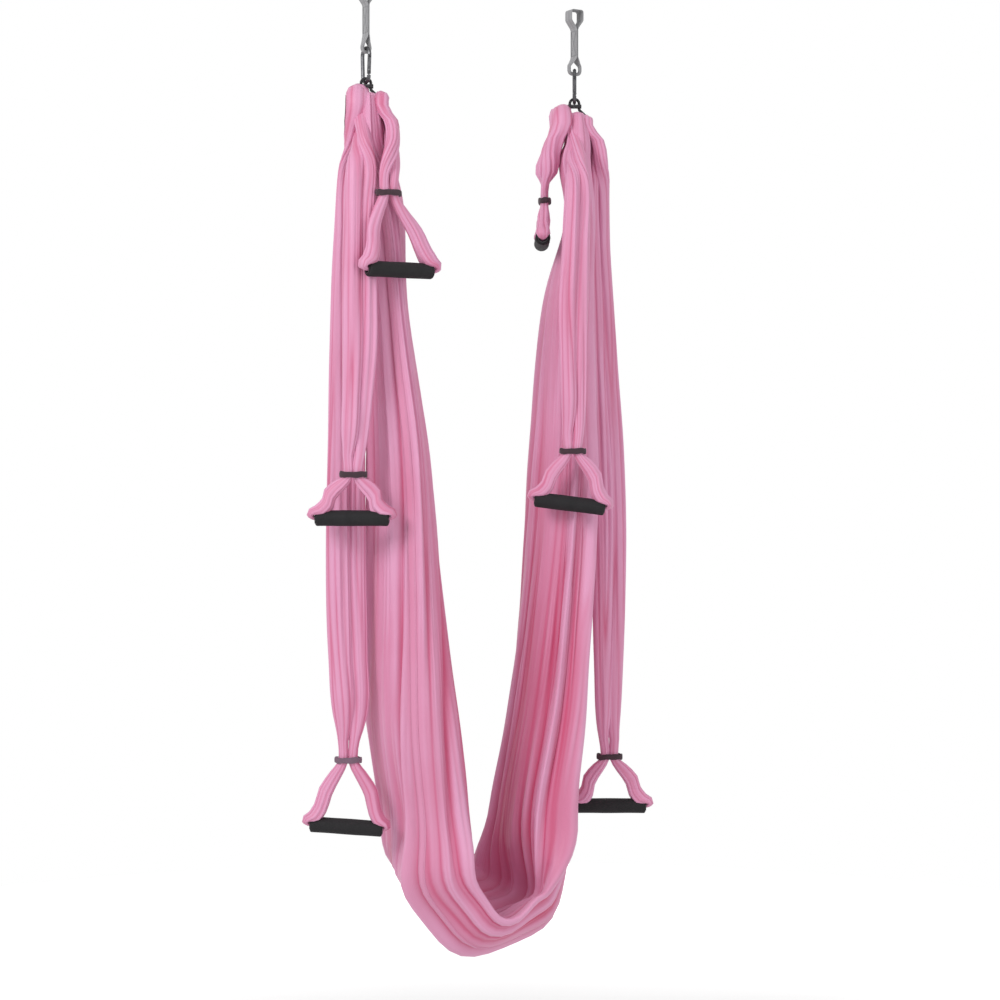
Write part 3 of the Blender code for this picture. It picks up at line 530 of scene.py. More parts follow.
def sheet_frames(line):
    """Centres, directions and sizes at each row of the sheet's line."""
    drop, run, reach = line.T
    way = unit(np.gradient(line[:, :2], axis=0))
    # Low down the direction changes slowly, so that the trough's high edges don't cross in the bends
    window = np.hanning(2 * slow_rows + 3)[1:-1]
    window /= window.sum()
    slow = [np.convolve(np.pad(part, slow_rows, mode="edge"), window, mode="valid") for part in way.T]
    way = unit(mix(way, np.stack(slow, axis=1), smooth((drop / sheet_drop - 0.55) / 0.25)[:, None]))
    gathered = 1 - smooth((drop - throat) / (turning_share * sheet_drop))
    rolled = 1 - smooth((drop - throat) / (rolled_share * sheet_drop))
    # The left leg opens to the trough early, and the right one stays a bundle until it is nearly down
    in_right = smooth((run / hang_span - 0.4) / 0.2)
    begin, over = (mix(left, right, in_right) for left, right in zip(left_opening, right_opening))
    opened = smooth((drop / sheet_drop - begin) / over)
    turned = facing * gathered
    zero = np.zeros_like(turned)
    level = np.stack([np.cos(turned), np.sin(turned), zero], axis=1)
    broad_way = np.stack([-np.sin(turned), np.cos(turned), zero], axis=1)
    narrow_way = level * way[:, :1] + up * way[:, 1:]
    narrow = mix(reach * leg_narrow, reach, gathered)
    broad = reach * mix(mix(leg_broad, gathered_broad, gathered), rolled_broad, rolled)
    centres = np.stack([run, slot[1] * gathered, bar_z - drop], axis=1)
    return centres, narrow_way, broad_way, narrow, broad, opened, gathered


trough_half, trough_floor, trough_wall = 0.1055, 0.040, 0.018
trough_rise, trough_front_rise = 0.1028, 0.054
trough_right_lift = 0.028  # how much higher the front edge is near the right leg
trough_filling = 0.042  # how much the bunched cloth thickens the trough's middle
# The folds wind round the bundle on their way from the left leg through the trough to the right leg
leg_turn, trough_turn, right_turn = math.radians(36), math.radians(55), math.radians(110)


def signed_power(wave, power):
    """A sine or cosine raised to a power with its sign kept. Below 1 it gives an oval fuller corners."""
    return np.sign(wave) * np.abs(wave) ** power


def sheet_points(angle, size, height):
    """Places for arrays of angle, size and fold height, one row for each row of the line."""
    frames = (part[:, None] for part in sheet_frames(sheet_line))
    centres, narrow_way, broad_way, narrow, broad, opened, _ = frames
    in_right_leg = (np.arange(len(sheet_line)) > len(sheet_line) / 2)[:, None]
    lead = leg_turn * smooth((sheet_line[:, :1] / sheet_drop - 0.35) / 0.5)
    leg_angle = angle + np.where(in_right_leg, right_turn - lead, lead)
    s, c = np.sin(leg_angle), np.cos(leg_angle)
    slant = unit(np.stack([s / narrow, c / broad], axis=-1))
    leg_in = size * s * narrow + height * slant[..., 0]
    leg_side = size * c * broad + height * slant[..., 1]
    s, c = np.sin(angle + trough_turn), np.cos(angle + trough_turn)
    wall = signed_power(s, 0.6) * trough_wall / 2 * size
    wall = wall + np.where(s > 0, trough_filling * s * s * size, 0)
    near_right = smooth((sheet_line[:, 1:2] / hang_span - 0.52) / 0.25)
    front_rise = trough_front_rise + trough_right_lift * near_right
    rise = np.where(c > 0, trough_rise, front_rise)
    base = trough_wall / 2 - trough_floor + rise * c * c
    trough_in = base + wall + height * s
    trough_side = c * trough_half * (0.88 + 0.12 * size) + height * c * 0.4
    # Halfway between two turned outlines the mean is too small, so it is made as large as they are
    twist = np.where(in_right_leg, right_turn - trough_turn, trough_turn) - lead
    grown = 1 / np.sqrt(1 - 2 * opened * (1 - opened) * (1 - np.cos(twist)))
    inward = mix(leg_in, trough_in, opened) * grown
    sideways = mix(leg_side, trough_side, opened) * grown
    return centres + narrow_way * inward[..., None] + broad_way * sideways[..., None]


# %% Fold heights, and the sheet itself
def mean_widths(points):
    """The mean length across a grid of points, at each of its columns."""
    return np.concatenate([[0.0], np.cumsum(np.linalg.norm(np.diff(points, axis=1), axis=2).mean(axis=0))])


outer_columns = 290
sheet_angle, sheet_size = wound(outer_columns, 56, 44, 2.9, 0.42)
# Where the edge that shows lies round the bundle: length along the sheet, and degrees
edge_keys = through([(0, 222), (0.5, 212), (1.0, 194), (1.3, 192), (1.6, 196), (2.2, 205), (3.0, 210)], 8)
edge_angle = np.radians(np.interp(sheet_at, edge_keys[:, 0], edge_keys[:, 1]))
angle = edge_angle[:, None] - sheet_angle[None, :]
size = np.broadcast_to(sheet_size, angle.shape)
along = np.broadcast_to(sheet_at[:, None], angle.shape)
broad_folds = Folds(3, 2, 6, 0.9)
main_folds = Folds(11, 3, 17, 2.6, 18, 0.6)
small_folds = Folds(23, 14, 40, 11.0, 14)
swerve = Folds(41, 2, 5, 1.6)
calm_places = Folds(67, 2, 7, 3.2)
_, _, _, narrow, broad, opened, _ = (part[:, None] for part in sheet_frames(sheet_line))
room = np.sqrt(narrow * broad)
bent = angle + 0.10 * swerve.waves(angle, along)
ridge = main_folds.ridges(bent, along, 0.35)
small_ridge = small_folds.ridges(bent, along, 0.4)
# In some places the cloth lies smooth, and in others it has deep creases
down = smooth((sheet_line[:, :1] / sheet_drop - 0.25) / 0.5)
lively = smooth(mix(0.46, 0.56, down) + 0.45 * calm_places.waves(angle, along))
lively = mix(lively, 1.0, opened * 0.6)
# Heights as shares of the bundle's half size: the main folds high up and low down, the small and the broad
main_high, main_low, small_height, broad_height = 0.150, 0.170, 0.020, 0.040
mean_ridge, mean_small = 0.65, 0.6  # so that folds stand in about as far as they stand out
height = room * (
    mix(main_high, main_low, down) * lively * (ridge - mean_ridge)
    + small_height * mix(0.6, 1.0, lively) * (small_ridge - mean_small)
    + broad_height * broad_folds.waves(angle, along)
)
height *= mix(1.0, 0.85, opened)
height *= smooth((sheet_size[None, :] - 0.72) / 0.22)
# Painted shade: the colour follows the folds, paler on a ridge and deeper in a crease,
# and less so high up and where the cloth lies smooth
crease_shade_mask = ridge / (ridge + 0.20) * 1.1 + 0.16 * (small_ridge - 0.3)
in_right = smooth((sheet_line[:, 1:2] / hang_span - 0.5) / 0.3) * down
calm_share, lively_share = 0.82 - 0.30 * in_right, mix(0.45 + 0.55 * crease_shade_mask, crease_shade_mask, down)
painted_crease_shade = np.clip(mix(calm_share, lively_share, mix(0.35, 1.0, lively)), 0, 1)
# Low down, and most on the right, the creases lie closer and the painted shade in them is deeper
painted_crease_shade = painted_crease_shade ** (1 + 0.6 * down + 0.8 * in_right)
# Inside the trough the only light has already met pink cloth, so the painted shade in the creases there is
# less deep
inside = opened * smooth(np.sin(angle + trough_turn) * 2)
painted_crease_shade = mix(painted_crease_shade, 0.85, 0.5 * inside)
points = sheet_points(angle, size, height)
across_at = mean_widths(points)
sheet = grid_object("hammock_cloth", points, (sheet_at, across_at), finish=pink, shares=painted_crease_shade)
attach(sheet, "hammock")
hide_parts("hammock_sheet")
area = sum(p.area for p in sheet.data.polygons)
measures = "mean width", round(across_at[-1], 3), "area", round(area, 3)
print("sheet:", len(sheet.data.polygons), "faces,", *measures)

# %% [markdown]
# ## A hem along the sheet's edge
#
# The long edge of the sheet that shows is folded over once and sewn. The hem is a narrow flat tube of cloth
# that follows the sheet's first columns a little proud of them, and the line for its stitches runs on it.


# %% Geometry Nodes helpers
def geometry_tree(name, inputs):
    """A Geometry Nodes tree with its inputs (name, type, value), and its two end nodes."""
    inputs = [("Geometry", "Geometry", None), *inputs, ("Material", "Material", None)]
    return new_tree(name, "GeometryNodeTree", inputs, [("Geometry", "Geometry")])


def ended(geometry, given, out):
    """The last steps of each tree, which it returns: real meshes, smooth shading and the material."""
    tree = geometry.id_data
    real = joined(tree, "GeometryNodeRealizeInstances", Geometry=geometry).outputs[0]
    shaded = joined(tree, "GeometryNodeSetShadeSmooth", Geometry=real).outputs[0]
    dressed = joined(tree, "GeometryNodeSetMaterial", Geometry=shaded, Material=given["Material"])
    tree.links.new(dressed.outputs[0], out[0])
    return tree


def grown_mesh(name, points, closed, tree, **values):
    """Runs a tree on a line of points and returns the result as a plain mesh object."""
    count = len(points)
    edges = [(k, (k + 1) % count) for k in range(count if closed else count - 1)]
    mesh = bpy.data.meshes.new(name + "_line")
    mesh.from_pydata(np.asarray(points).tolist(), edges, [])
    line = bpy.data.objects.new(name + "_line", mesh)
    scene.collection.objects.link(line)
    modifier = line.modifiers.new(tree.name, "NODES")
    modifier.node_group = tree
    for item in tree.interface.items_tree:
        if item.in_out == "INPUT" and item.name.replace(" ", "_") in values:
            modifier[item.identifier] = values[item.name.replace(" ", "_")]
    ready = line.evaluated_get(bpy.context.evaluated_depsgraph_get())
    made = bpy.data.objects.new(name, bpy.data.meshes.new_from_object(ready))
    bpy.data.objects.remove(line)
    bpy.data.meshes.remove(mesh)
    made.data.name = name
    scene.collection.objects.link(made)
    return made


# %% The tree that lays stitches along a line
tree, given, out = geometry_tree(
    "stitch_row",
    [
        ("Stitch length", "Float", 0.0035),
        ("Stitch step", "Float", 0.005),
        ("Thread radius", "Float", 0.0003),
    ],
)
line = joined(tree, "GeometryNodeMeshToCurve", Mesh=given["Geometry"]).outputs[0]
by_length = {"mode": "LENGTH"}
middles = joined(tree, "GeometryNodeResampleCurve", by_length, Curve=line, Length=given["Stitch step"])
tangent = joined(tree, "GeometryNodeInputTangent").outputs[0]
turned = joined(tree, "FunctionNodeAlignRotationToVector", {"axis": "X"}, Vector=tangent)
bead = joined(tree, "GeometryNodeMeshIcoSphere", Radius=1.0, Subdivisions=2)
half_stitch, radius = maths("MULTIPLY", given["Stitch length"], 0.5), given["Thread radius"]
shape = joined(tree, "ShaderNodeCombineXYZ", X=half_stitch, Y=radius, Z=radius)
laid = {"Points": middles, "Instance": bead, "Rotation": turned, "Scale": shape}
laid = {label: node.outputs[0] for label, node in laid.items()}
stitch_tree = ended(joined(tree, "GeometryNodeInstanceOnPoints", **laid).outputs[0], given, out)
print("stitch tree ready with", len(stitch_tree.nodes), "nodes")


# %% The hem and its stitches
def thread_material(name, dark, pale, **values):
    made, tree = plain_material(name, **values)
    grain = noise(own_place(tree), 900.0, 2.0)
    finished(blended(grain, dark, pale), height=grain, strength=0.4)
    return made


thread_pink = thread_material(
    "pink_sewing_thread", (0.62, 0.24, 0.40), (0.80, 0.42, 0.60), Roughness=0.55, Sheen_Weight=0.2
)
hem_width, hem_lift, hem_from_end, hem_columns = 0.013, 0.0007, 0.16, 24
kept_rows = np.flatnonzero((sheet_at > hem_from_end) & (sheet_at < sheet_at[-1] - hem_from_end))
edge_rows = points[kept_rows]
near_edge = edge_rows[:, :hem_columns]
outward = unit(np.cross(np.gradient(edge_rows, axis=0)[:, :hem_columns], np.gradient(near_edge, axis=1)))
middle_of_row = edge_rows[:, :outer_columns].mean(axis=1)[:, None]
outward *= np.sign(((near_edge - middle_of_row) * outward).sum(axis=2).mean())


def beside_edge(width, lift):
    """A line on the sheet at a distance from its edge."""
    found = []
    for row, side in zip(near_edge, outward):
        at = lengths(row)
        place, way = (
            np.array([np.interp(width, at, values[:, k]) for k in range(3)]) for values in (row, side)
        )
        found.append(place + unit(way) * lift)
    return np.array(found)


# The hem's outline, as shares of its width and of its lift
hem_steps = (
    (0.0, -0.4), (-0.0006, 0.3), (0.0, 1.0), (0.25, 1.25), (0.5, 1.2), (0.75, 1.25), (1.0, 1.0), (1.0, -0.4)
)
hem_points = np.stack(
    [beside_edge(hem_width * max(0, step), hem_lift * lift) for step, lift in hem_steps], axis=1
)
hem_uv = (sheet_at[kept_rows], np.linspace(0, 0.028, len(hem_steps) + 1))
# The hem gets one even share of the painted crease shade
hem_painted_shade = np.full(hem_points.shape[:2], 0.72)
hem = grid_object("hammock_hem", hem_points, hem_uv, (False, True), pink, hem_painted_shade)
hem_line = beside_edge(hem_width * 0.8, hem_lift * 1.7)
hem_stitches = grown_mesh("hammock_hem_stitches", hem_line, False, stitch_tree, Material=thread_pink)
for piece in (hem, hem_stitches):
    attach(piece, "hammock")
print("hem", len(hem.data.polygons), "faces, stitches", len(hem_stitches.data.polygons), "faces")

# %% [markdown]
# ## The handle straps
#
# Each strap is one closed loop of gathered cloth: it lies over the sling's bar in a puffed hump, goes down
# in two runs side by side, is squeezed together in the neck ring, and parts again to the two ends of the
# grip. Near the bar the loop stands from front to back, and lower down it has turned to face the camera.

# %% Places and sizes of the six handles
# The neck ring's drop below the bar, the grip's below the ring, degrees of turn of the loop at the bar and at
# the grip, the grip's tilt, and the hump's two half sizes and its lean
handle_sizes = {
    "left_long": (1.016, 0.104, 90, 0, 4, (0.0165, 0.0195), -36),
    "left_mid": (0.571, 0.067, -90, 0, 0, (0.0098, 0.0120), 0),
    "left_short": (0.140, 0.118, 90, 31, 0, (0.0110, 0.0125), 42),
    "right_short": (0.124, 0.065, -90, -90, 0, (0.0165, 0.0195), -36),
    "right_mid": (0.535, 0.084, -90, 0, 7, (0.0095, 0.0090), 0),
    "right_long": (1.038, 0.081, -90, 0, 0, (0.0075, 0.0115), 34),
}
# A strap's middle line: drop below the bar, offset to the side, offset to the back, and half a run's width
paths = {
    "left_long": (
        (0.0, -0.0125, 0.0, 0), (0.024, -0.0190, 0.003, 0.0150), (0.055, -0.0235, 0.006, 0.0118),
        (0.100, -0.0220, 0.008, 0.0108), (0.200, -0.0240, 0.008, 0.0122), (0.300, -0.0260, 0.007, 0.0133),
        (0.500, -0.0297, 0.006, 0.0148), (0.700, -0.0318, 0.006, 0.0156), (0.850, -0.0285, 0.006, 0.0155),
        (0.945, -0.0250, 0.006, 0.0136), (1.016, -0.0280, 0.006, 0), (1.120, -0.0310, 0.006, 0),
    ),
    "left_mid": (
        (0.0, -0.0073, 0.0, 0), (0.024, -0.0055, -0.014, 0.0115), (0.055, -0.0045, -0.034, 0.0120),
        (0.100, -0.0035, -0.052, 0.0118), (0.150, -0.0055, -0.056, 0.0119), (0.300, -0.0063, -0.055, 0.0138),
        (0.380, -0.0065, -0.054, 0.0136), (0.450, -0.0095, -0.054, 0.0119), (0.510, -0.0130, -0.054, 0.0104),
        (0.571, -0.0160, -0.054, 0), (0.638, -0.0180, -0.054, 0),
    ),
    "left_short": (
        (0.0, 0.0240, 0.0, 0), (0.024, 0.0392, -0.010, 0.0112), (0.055, 0.0420, -0.028, 0.0118),
        (0.085, 0.0400, -0.044, 0.0105), (0.140, 0.0380, -0.052, 0), (0.258, 0.0550, -0.052, 0),
    ),
    "right_short": (
        (0.0, -0.0215, 0.0, 0), (0.024, -0.0330, 0.0, 0.0150), (0.050, -0.0415, 0.0, 0.0135),
        (0.078, -0.0450, 0.0, 0.0125), (0.124, -0.0490, 0.0, 0), (0.189, -0.0530, 0.0, 0),
    ),
    "right_mid": (
        (0.0, -0.0040, 0.0, 0), (0.024, 0.0, -0.016, 0.0090), (0.055, 0.0020, -0.048, 0.0088),
        (0.100, 0.0030, -0.084, 0.0092), (0.200, -0.0010, -0.098, 0.0108), (0.300, -0.0050, -0.100, 0.0120),
        (0.400, -0.0048, -0.101, 0.0108), (0.465, -0.0045, -0.102, 0.0098), (0.535, -0.0060, -0.102, 0),
        (0.619, -0.0110, -0.102, 0),
    ),
    "right_long": (
        (0.0, 0.0205, 0.0, 0), (0.024, 0.0372, 0.002, 0.0080), (0.055, 0.0398, 0.005, 0.0096),
        (0.100, 0.0360, 0.006, 0.0106), (0.200, 0.0368, 0.006, 0.0117), (0.300, 0.0419, 0.006, 0.0128),
        (0.400, 0.0462, 0.006, 0.0136), (0.533, 0.0527, 0.006, 0.0144), (0.730, 0.0576, 0.006, 0.0144),
        (0.800, 0.0572, 0.006, 0.0138), (0.890, 0.0560, 0.006, 0.0126), (0.970, 0.0555, 0.006, 0.0108),
        (1.038, 0.0580, 0.006, 0), (1.119, 0.0610, 0.006, 0),
    ),
}
bar_wrap = 0.0028
grip_length, grip_radius = 0.112, 0.0125
tube_radius, tube_extra = 0.0085, 0.0010
ring_height, ring_travel = 0.0090, 0.020
half_grip = grip_length / 2 + tube_extra
line_steps = 12  # from each row of a strap's path to the next


def eased(share):
    return 1 - (1 - min(1.0, share)) ** 2


def eased_between(a, b, start, end, t):
    """A smooth way from a to b that leaves along start and arrives along end."""
    return (
        a * (2 * t**3 - 3 * t**2 + 1)
        + b * (3 * t**2 - 2 * t**3)
        + start * (t**3 - 2 * t**2 + t)
        + end * (t**3 - t**2)
    )


def steady_line(rows):
    """A smooth line through rows of a drop and two offsets, which never overshoots a row."""
    drops, found = rows[:, 0], []
    slopes = np.diff(rows[:, 1:], axis=0) / np.diff(drops)[:, None]
    bends = np.zeros((len(rows), 2))
    same = slopes[:-1] * slopes[1:] > 0
    bends[1:-1][same] = (2 * slopes[:-1] * slopes[1:])[same] / (slopes[:-1] + slopes[1:])[same]
    t = (np.arange(line_steps) / line_steps)[:, None]
    for k in range(len(rows) - 1):
        step = drops[k + 1] - drops[k]
        place = eased_between(rows[k, 1:], rows[k + 1, 1:], step * bends[k], step * bends[k + 1], t)
        found.append(np.hstack([drops[k] + t * step, place]))
    return np.vstack([*found, rows[-1:]])


def rotated(x, y, turn):
    return x * math.cos(turn) - y * math.sin(turn), x * math.sin(turn) + y * math.cos(turn)


class Handle:
    """Where one handle's middle line, loop and grip are."""

    def __init__(self, key):
        self.key = key
        self.side = key.split("_")[0]
        self.ring_drop, grip_reach, bar_turn, grip_turn, tilt, self.hump_half, lean = handle_sizes[key]
        self.grip_drop = self.ring_drop + grip_reach
        self.turns = math.radians(bar_turn), math.radians(grip_turn)
        self.tilt, self.lean = math.radians(tilt), math.radians(lean)
        self.top = hang[self.side] + up * bar_z
        self.path = np.array(paths[key])
        self.line = steady_line(self.path[:, :3])
        # Where the ring slides up, the line is nearly straight, so that the ring stays clear of the cloth
        rise = self.ring_drop - self.line[:, :1]
        at_ring = [np.interp(self.ring_drop, self.line[:, 0], self.line[:, k]) for k in (1, 2)]
        held = np.where(rise > 0, 0.7 * smooth((0.036 - rise) / 0.012), 0.0)
        self.line[:, 1:] = mix(self.line[:, 1:], at_ring, held)
        self.ring_place = self.middle(self.ring_drop)
        self.grip_place = self.middle(self.grip_drop)
        self.grip_way = self.way(self.grip_drop) * math.cos(self.tilt) - up * math.sin(self.tilt)

    def middle(self, drop):
        aside, back = (np.interp(drop, self.line[:, 0], self.line[:, k]) for k in (1, 2))
        return self.top + across * aside + away * back - up * drop

    def way(self, drop):
        """The direction from one run of the loop to the other, which turns just below the bar."""
        angle = facing + mix(*self.turns, float(smooth((drop - 0.040) / 0.070)))
        return np.array((math.cos(angle), math.sin(angle), 0.0))

    def half_loop(self):
        """Half of the loop: beside, drop, normal's two parts, both half sizes, tilt, fold, shift and lean."""
        roll, slot_half = self.hump_half
        neck_half, neck_deep, neck_offset, leg_half = 0.0085, 0.0070, 0.0089, 0.0122
        run_deep, leg_deep, cup_deep = 0.0100, 0.0078, 0.0146
        if self.key == "right_short":
            run_deep, leg_deep, cup_deep = 0.0124, 0.0105, 0.0118
        # Over the bar
        over = bar_wrap + roll
        rows = []
        for turn in math.pi / 2 * (1 - np.arange(4) / 3):
            normal = (math.cos(turn), -math.sin(turn))
            place = (over * normal[0], over * normal[1])
            rows.append((*place, *normal, roll, slot_half, 0, 0.42, 0, self.lean))
        # Down one run
        neck_top = self.ring_drop - ring_travel - ring_height
        neck_low = self.ring_drop + ring_height / 2
        spread_end = min(0.085, neck_top)
        for drop, _, _, run in self.path[1:]:
            if run:
                deep = mix(slot_half, run_deep, eased(drop / spread_end))
                apart = float(smooth(drop / spread_end))
                offset = mix(over, run * 0.80, apart)
                half = run * mix(1.0, 1.22, apart)
                lean = self.lean * (1 - apart)
                rows.append((offset, drop, 1, 0, half, deep, 0.0, 0.85, 0.0042 * apart, lean))
        # Through the ring
        neck = [
            (neck_offset, drop, 1, 0, neck_half, neck_deep, 0, 0.5, 0, 0) for drop in (neck_top, neck_low)
        ]
        rows += [tuple(mix(np.array(rows[-1]), np.array(neck[0]), 0.6)), *neck]
        # Down one leg, spread over the upper corner of the foam near its end
        corner_radius = 0.0052
        corner = np.array((half_grip + 0.0003, self.grip_drop - corner_radius))
        neck_end = np.array((neck_offset, neck_low))
        to_neck = neck_end - corner
        last = math.atan2(-to_neck[1], to_neck[0]) - math.acos(corner_radius / np.linalg.norm(to_neck))
        normal = np.array((math.cos(last), -math.sin(last)))
        leg_end = corner + normal * corner_radius
        length = np.linalg.norm(leg_end - neck_end)
        for share, half, deep in (
            (0.2, 0.0100, 0.0075),
            (0.5, leg_half, leg_deep),
            (1 - 0.026 / length, 0.0120, cup_deep * 0.8),
            (1 - 0.011 / length, 0.0118, cup_deep),
        ):
            place = mix(neck_end, leg_end, share) - normal * 0.0072 * (share > 0.6)
            rows.append((*place, *normal, half, deep, float(smooth(share)), 0.8, 0, 0))
        # Round the corner and into the grip
        for step, half, deep in ((1, 0.0074, 0.9 * cup_deep), (2, 0.0040, 0.0084), (3, 0.0034, 0.0058)):
            turn = mix(last, -math.pi / 2, step / 3)
            normal = np.array((math.cos(turn), -math.sin(turn)))
            rows.append((*(corner + normal * corner_radius), *normal, half, deep, 1.0, 0.3, 0, 0))
        tail = (self.grip_drop, 0, 1, 0.0056, 0.0056, 1.0, 0.2, 0, 0)
        return [*rows, (half_grip * 0.8, *tail), (0.0, *tail)]

    def stations(self):
        """The closed loop: centre, outward direction, direction across the loop, both halves, and fold."""
        half = self.half_loop()
        whole = [(row, 1) for row in half] + [(row, -1) for row in reversed(half[1:-1])]
        found = []
        for (beside, drop, nx, ny, a, b, tilts, fold, shift, lean), sign in whole:
            way, turn = self.way(drop), self.tilt * tilts
            x, y = rotated(beside * sign, drop - self.grip_drop, turn)
            nx, ny = rotated(nx * sign, ny, turn)
            level = self.middle(drop) + up * (drop - self.grip_drop)
            first, second = way * nx - up * ny, np.cross(up, way)
            place = level + way * x - up * y + second * shift * sign
            lean = lean * sign * (1 if np.dot(second, across) > 0 else -1)
            first, second = (
                first * math.cos(lean) + second * math.sin(lean),
                second * math.cos(lean) - first * math.sin(lean),
            )
            found.append((*place, *first, *second, a, b, fold))
        return np.array(found)


handles = {key: Handle(key) for key in handle_sizes}
for key, handle in handles.items():
    print(key, "ring", handle.ring_place.round(3), "grip", handle.grip_place.round(3))


# %% The straps' cloth
def closed_through(keys, spacing):
    """A smooth closed curve through rows of numbers, whose first three are a place."""
    count = len(keys)
    parts = []
    for k in range(count):
        a, b, c, d = (keys[(k + n) % count] for n in (-1, 0, 1, 2))
        steps = max(2, int(np.linalg.norm(c[:3] - b[:3]) / spacing + 0.5))
        # A tangent is no longer than its own step, so that a short step beside a long one stays even
        gap = [max(np.linalg.norm(q[:3] - p[:3]), 1e-6) for p, q in ((a, b), (b, c), (c, d))]
        start = ((c - b) / gap[1] * gap[0] + (b - a) / gap[0] * gap[1]) / (gap[0] + gap[1]) * gap[1]
        end = ((d - c) / gap[2] * gap[1] + (c - b) / gap[1] * gap[2]) / (gap[1] + gap[2]) * gap[1]
        parts.append(eased_between(b, c, start, end, (np.arange(steps) / steps)[:, None]))
    return np.vstack(parts)


strap_step, strap_waves = 0.013, 9
blend_from, blend_to = 0.015, 0.100  # drops below the bar, near the top of a strap


def strap_cloth(handle, seed):
    """Makes a strap's cloth, a closed band of gathered cloth."""
    rows = closed_through(handle.stations(), strap_step)
    centres, first, second = rows[:, :3], unit(rows[:, 3:6]), unit(rows[:, 6:9])
    a, b, fold = rows[:, 9:10], rows[:, 10:11], rows[:, 11:12]
    at = lengths(centres, closed=True)
    angle, size = wound(84, 14, 20, 1.7, 0.55, 0.07)
    around = np.broadcast_to(angle + 2.2, (len(rows), len(angle)))
    chance = np.random.RandomState(seed)
    # The folds come back to where they began after one time round the loop
    turns = chance.randint(1, 4, strap_waves)
    folds = Folds(seed, 2, 6, 0.0, strap_waves, 0.3)
    folds.drifts = full_turn * turns * chance.choice((-1, 1), strap_waves) / at[-1]
    small = Folds(seed + 50, 8, 13, 0.0)
    small.drifts = full_turn * chance.randint(-5, 6, strap_waves) / at[-1]
    where = at[:-1, None]
    ridge, small_ridge = folds.ridges(around, where, 0.35), small.ridges(around, where, 0.4)
    calm = smooth(0.62 + 0.34 * calm_places.waves(around, where * 2.5 + seed))
    height = np.sqrt(a * b) * fold * (0.22 * calm * (ridge - 0.55) + 0.028 * (small_ridge - 0.6))
    height = height * smooth((size - 0.7) / 0.25)
    c, s = np.cos(around), np.sin(around)
    slant = unit(np.stack([c / a, s / b], axis=-1))
    out_first = (size * c * a + height * slant[..., 0])[..., None]
    out_second = (size * s * b + height * slant[..., 1])[..., None]
    points = centres[:, None] + first[:, None] * out_first + second[:, None] * out_second
    # Painted shade: the colour is paler on a ridge and deeper in a crease, and less so where the cloth lies
    # smooth
    shares = mix(0.85, 0.32 + 0.74 * ridge / (ridge + 0.20), mix(0.4, 1.0, calm)) + 0.06 * small_ridge
    wide = mean_widths(points)
    piece = grid_object(
        f"strap_cloth_{handle.key}", points, (at, wide), (True, False), pink, np.clip(shares, 0, 1)
    )
    start = tuple(handle.middle(blend_from))
    end = tuple(handle.middle(blend_to))
    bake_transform(piece)
    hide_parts(f"strap_{handle.key}")
    measures = round(at[-1], 3), "m round,", round(wide[-1], 3), "wide"
    print(piece.name, len(piece.data.polygons), "faces,", *measures)


for seed, handle in enumerate(handles.values(), 31):
    strap_cloth(handle, seed)

# %% [markdown]
# ## Neck rings
#
# An elastic band as ribbed as a hair tie holds the two runs of each strap together and can be pushed up or
# down. Its outline is the oval of the gathered cloth. Fine ribs run round it and it is softly pinched in
# places, so it is a displaced loft.

# %% Neck rings
ring_half_wide, ring_half_deep, ring_wall, ring_square_share = 0.0215, 0.0108, 0.0024, 0.8
ring_sides, wall_sides, wall_square_share = 264, 20, 0.45


def elastic_material(name, colour, worn):
    made, tree = plain_material(name, Roughness=0.8, Sheen_Weight=0.35, Sheen_Roughness=0.5)
    place = own_place(tree)
    fuzz = noise(place, 1400.0)
    patches = noise(place, 120.0, 2.0)
    toned = blended(fuzz, [0.7 * c for c in colour], [1.3 * c for c in colour])
    finished(blended(above(patches, 0.5, 1.6), toned, worn), height=fuzz, distance=0.0002)
    return made


plum_dark = elastic_material("plum_elastic_dark", (0.036, 0.013, 0.022), (0.075, 0.030, 0.048))
plum_pale = elastic_material("plum_elastic_pale", (0.17, 0.095, 0.14), (0.24, 0.14, 0.20))

around = round_angles(ring_sides)[:, None]
c, s = np.cos(around), np.sin(around)
section = round_angles(wall_sides)[None, :]
# The wall's section is a rounded rectangle: out is 0 inside and 1 outside
out_share = 0.5 + 0.5 * signed_power(np.cos(section), wall_square_share)
rise = ring_height / 2 * signed_power(np.sin(section), wall_square_share)
ribs = 0.00022 * np.abs(np.cos(33 * around)) * (out_share > 0.8)
rounds = 0.00018 * np.cos(rise / ring_height * full_turn * 4) * (out_share > 0.8)
wall = ring_wall * (out_share - 1) + ribs + rounds - 0.0003
wide = (signed_power(c, ring_square_share) * (ring_half_wide + wall))[..., None]
deep = (signed_power(s, ring_square_share) * (ring_half_deep + wall))[..., None]
for key, handle in handles.items():
    wide_way = handle.way(handle.ring_drop)
    deep_way = np.cross(up, wide_way)
    pinch = 0.0005 * np.cos(3 * around + len(key)) + 0.0003 * np.cos(7 * around)
    height = (rise * (1 + 0.06 * np.cos(5 * around)) + pinch)[..., None]
    ring_points = handle.ring_place + wide_way * wide + deep_way * deep + up * height
    elastic = plum_pale if key == "left_long" else plum_dark
    ring = grid_object(f"neck_band_{key}", ring_points, closed=(True, True), finish=elastic)
    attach(ring, f"ring_{key}")
    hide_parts(f"neck_ring_{key}")
print("neck bands:", len(ring.data.polygons), "faces each")

# %% [markdown]
# ## Foam grips
#
# The grip is a tube of closed-cell foam pushed over a plastic tube. Its ends are rounded off by use, it is
# not perfectly straight or round, and its skin is finely pebbled. It is turned on its tube's line, with
# slow swells in the mesh and the pebbles in the material.

# %% Foam grips and their tubes
grip_edge, grip_sides = 0.0030, 72
foam_bore = tube_radius + 0.0003

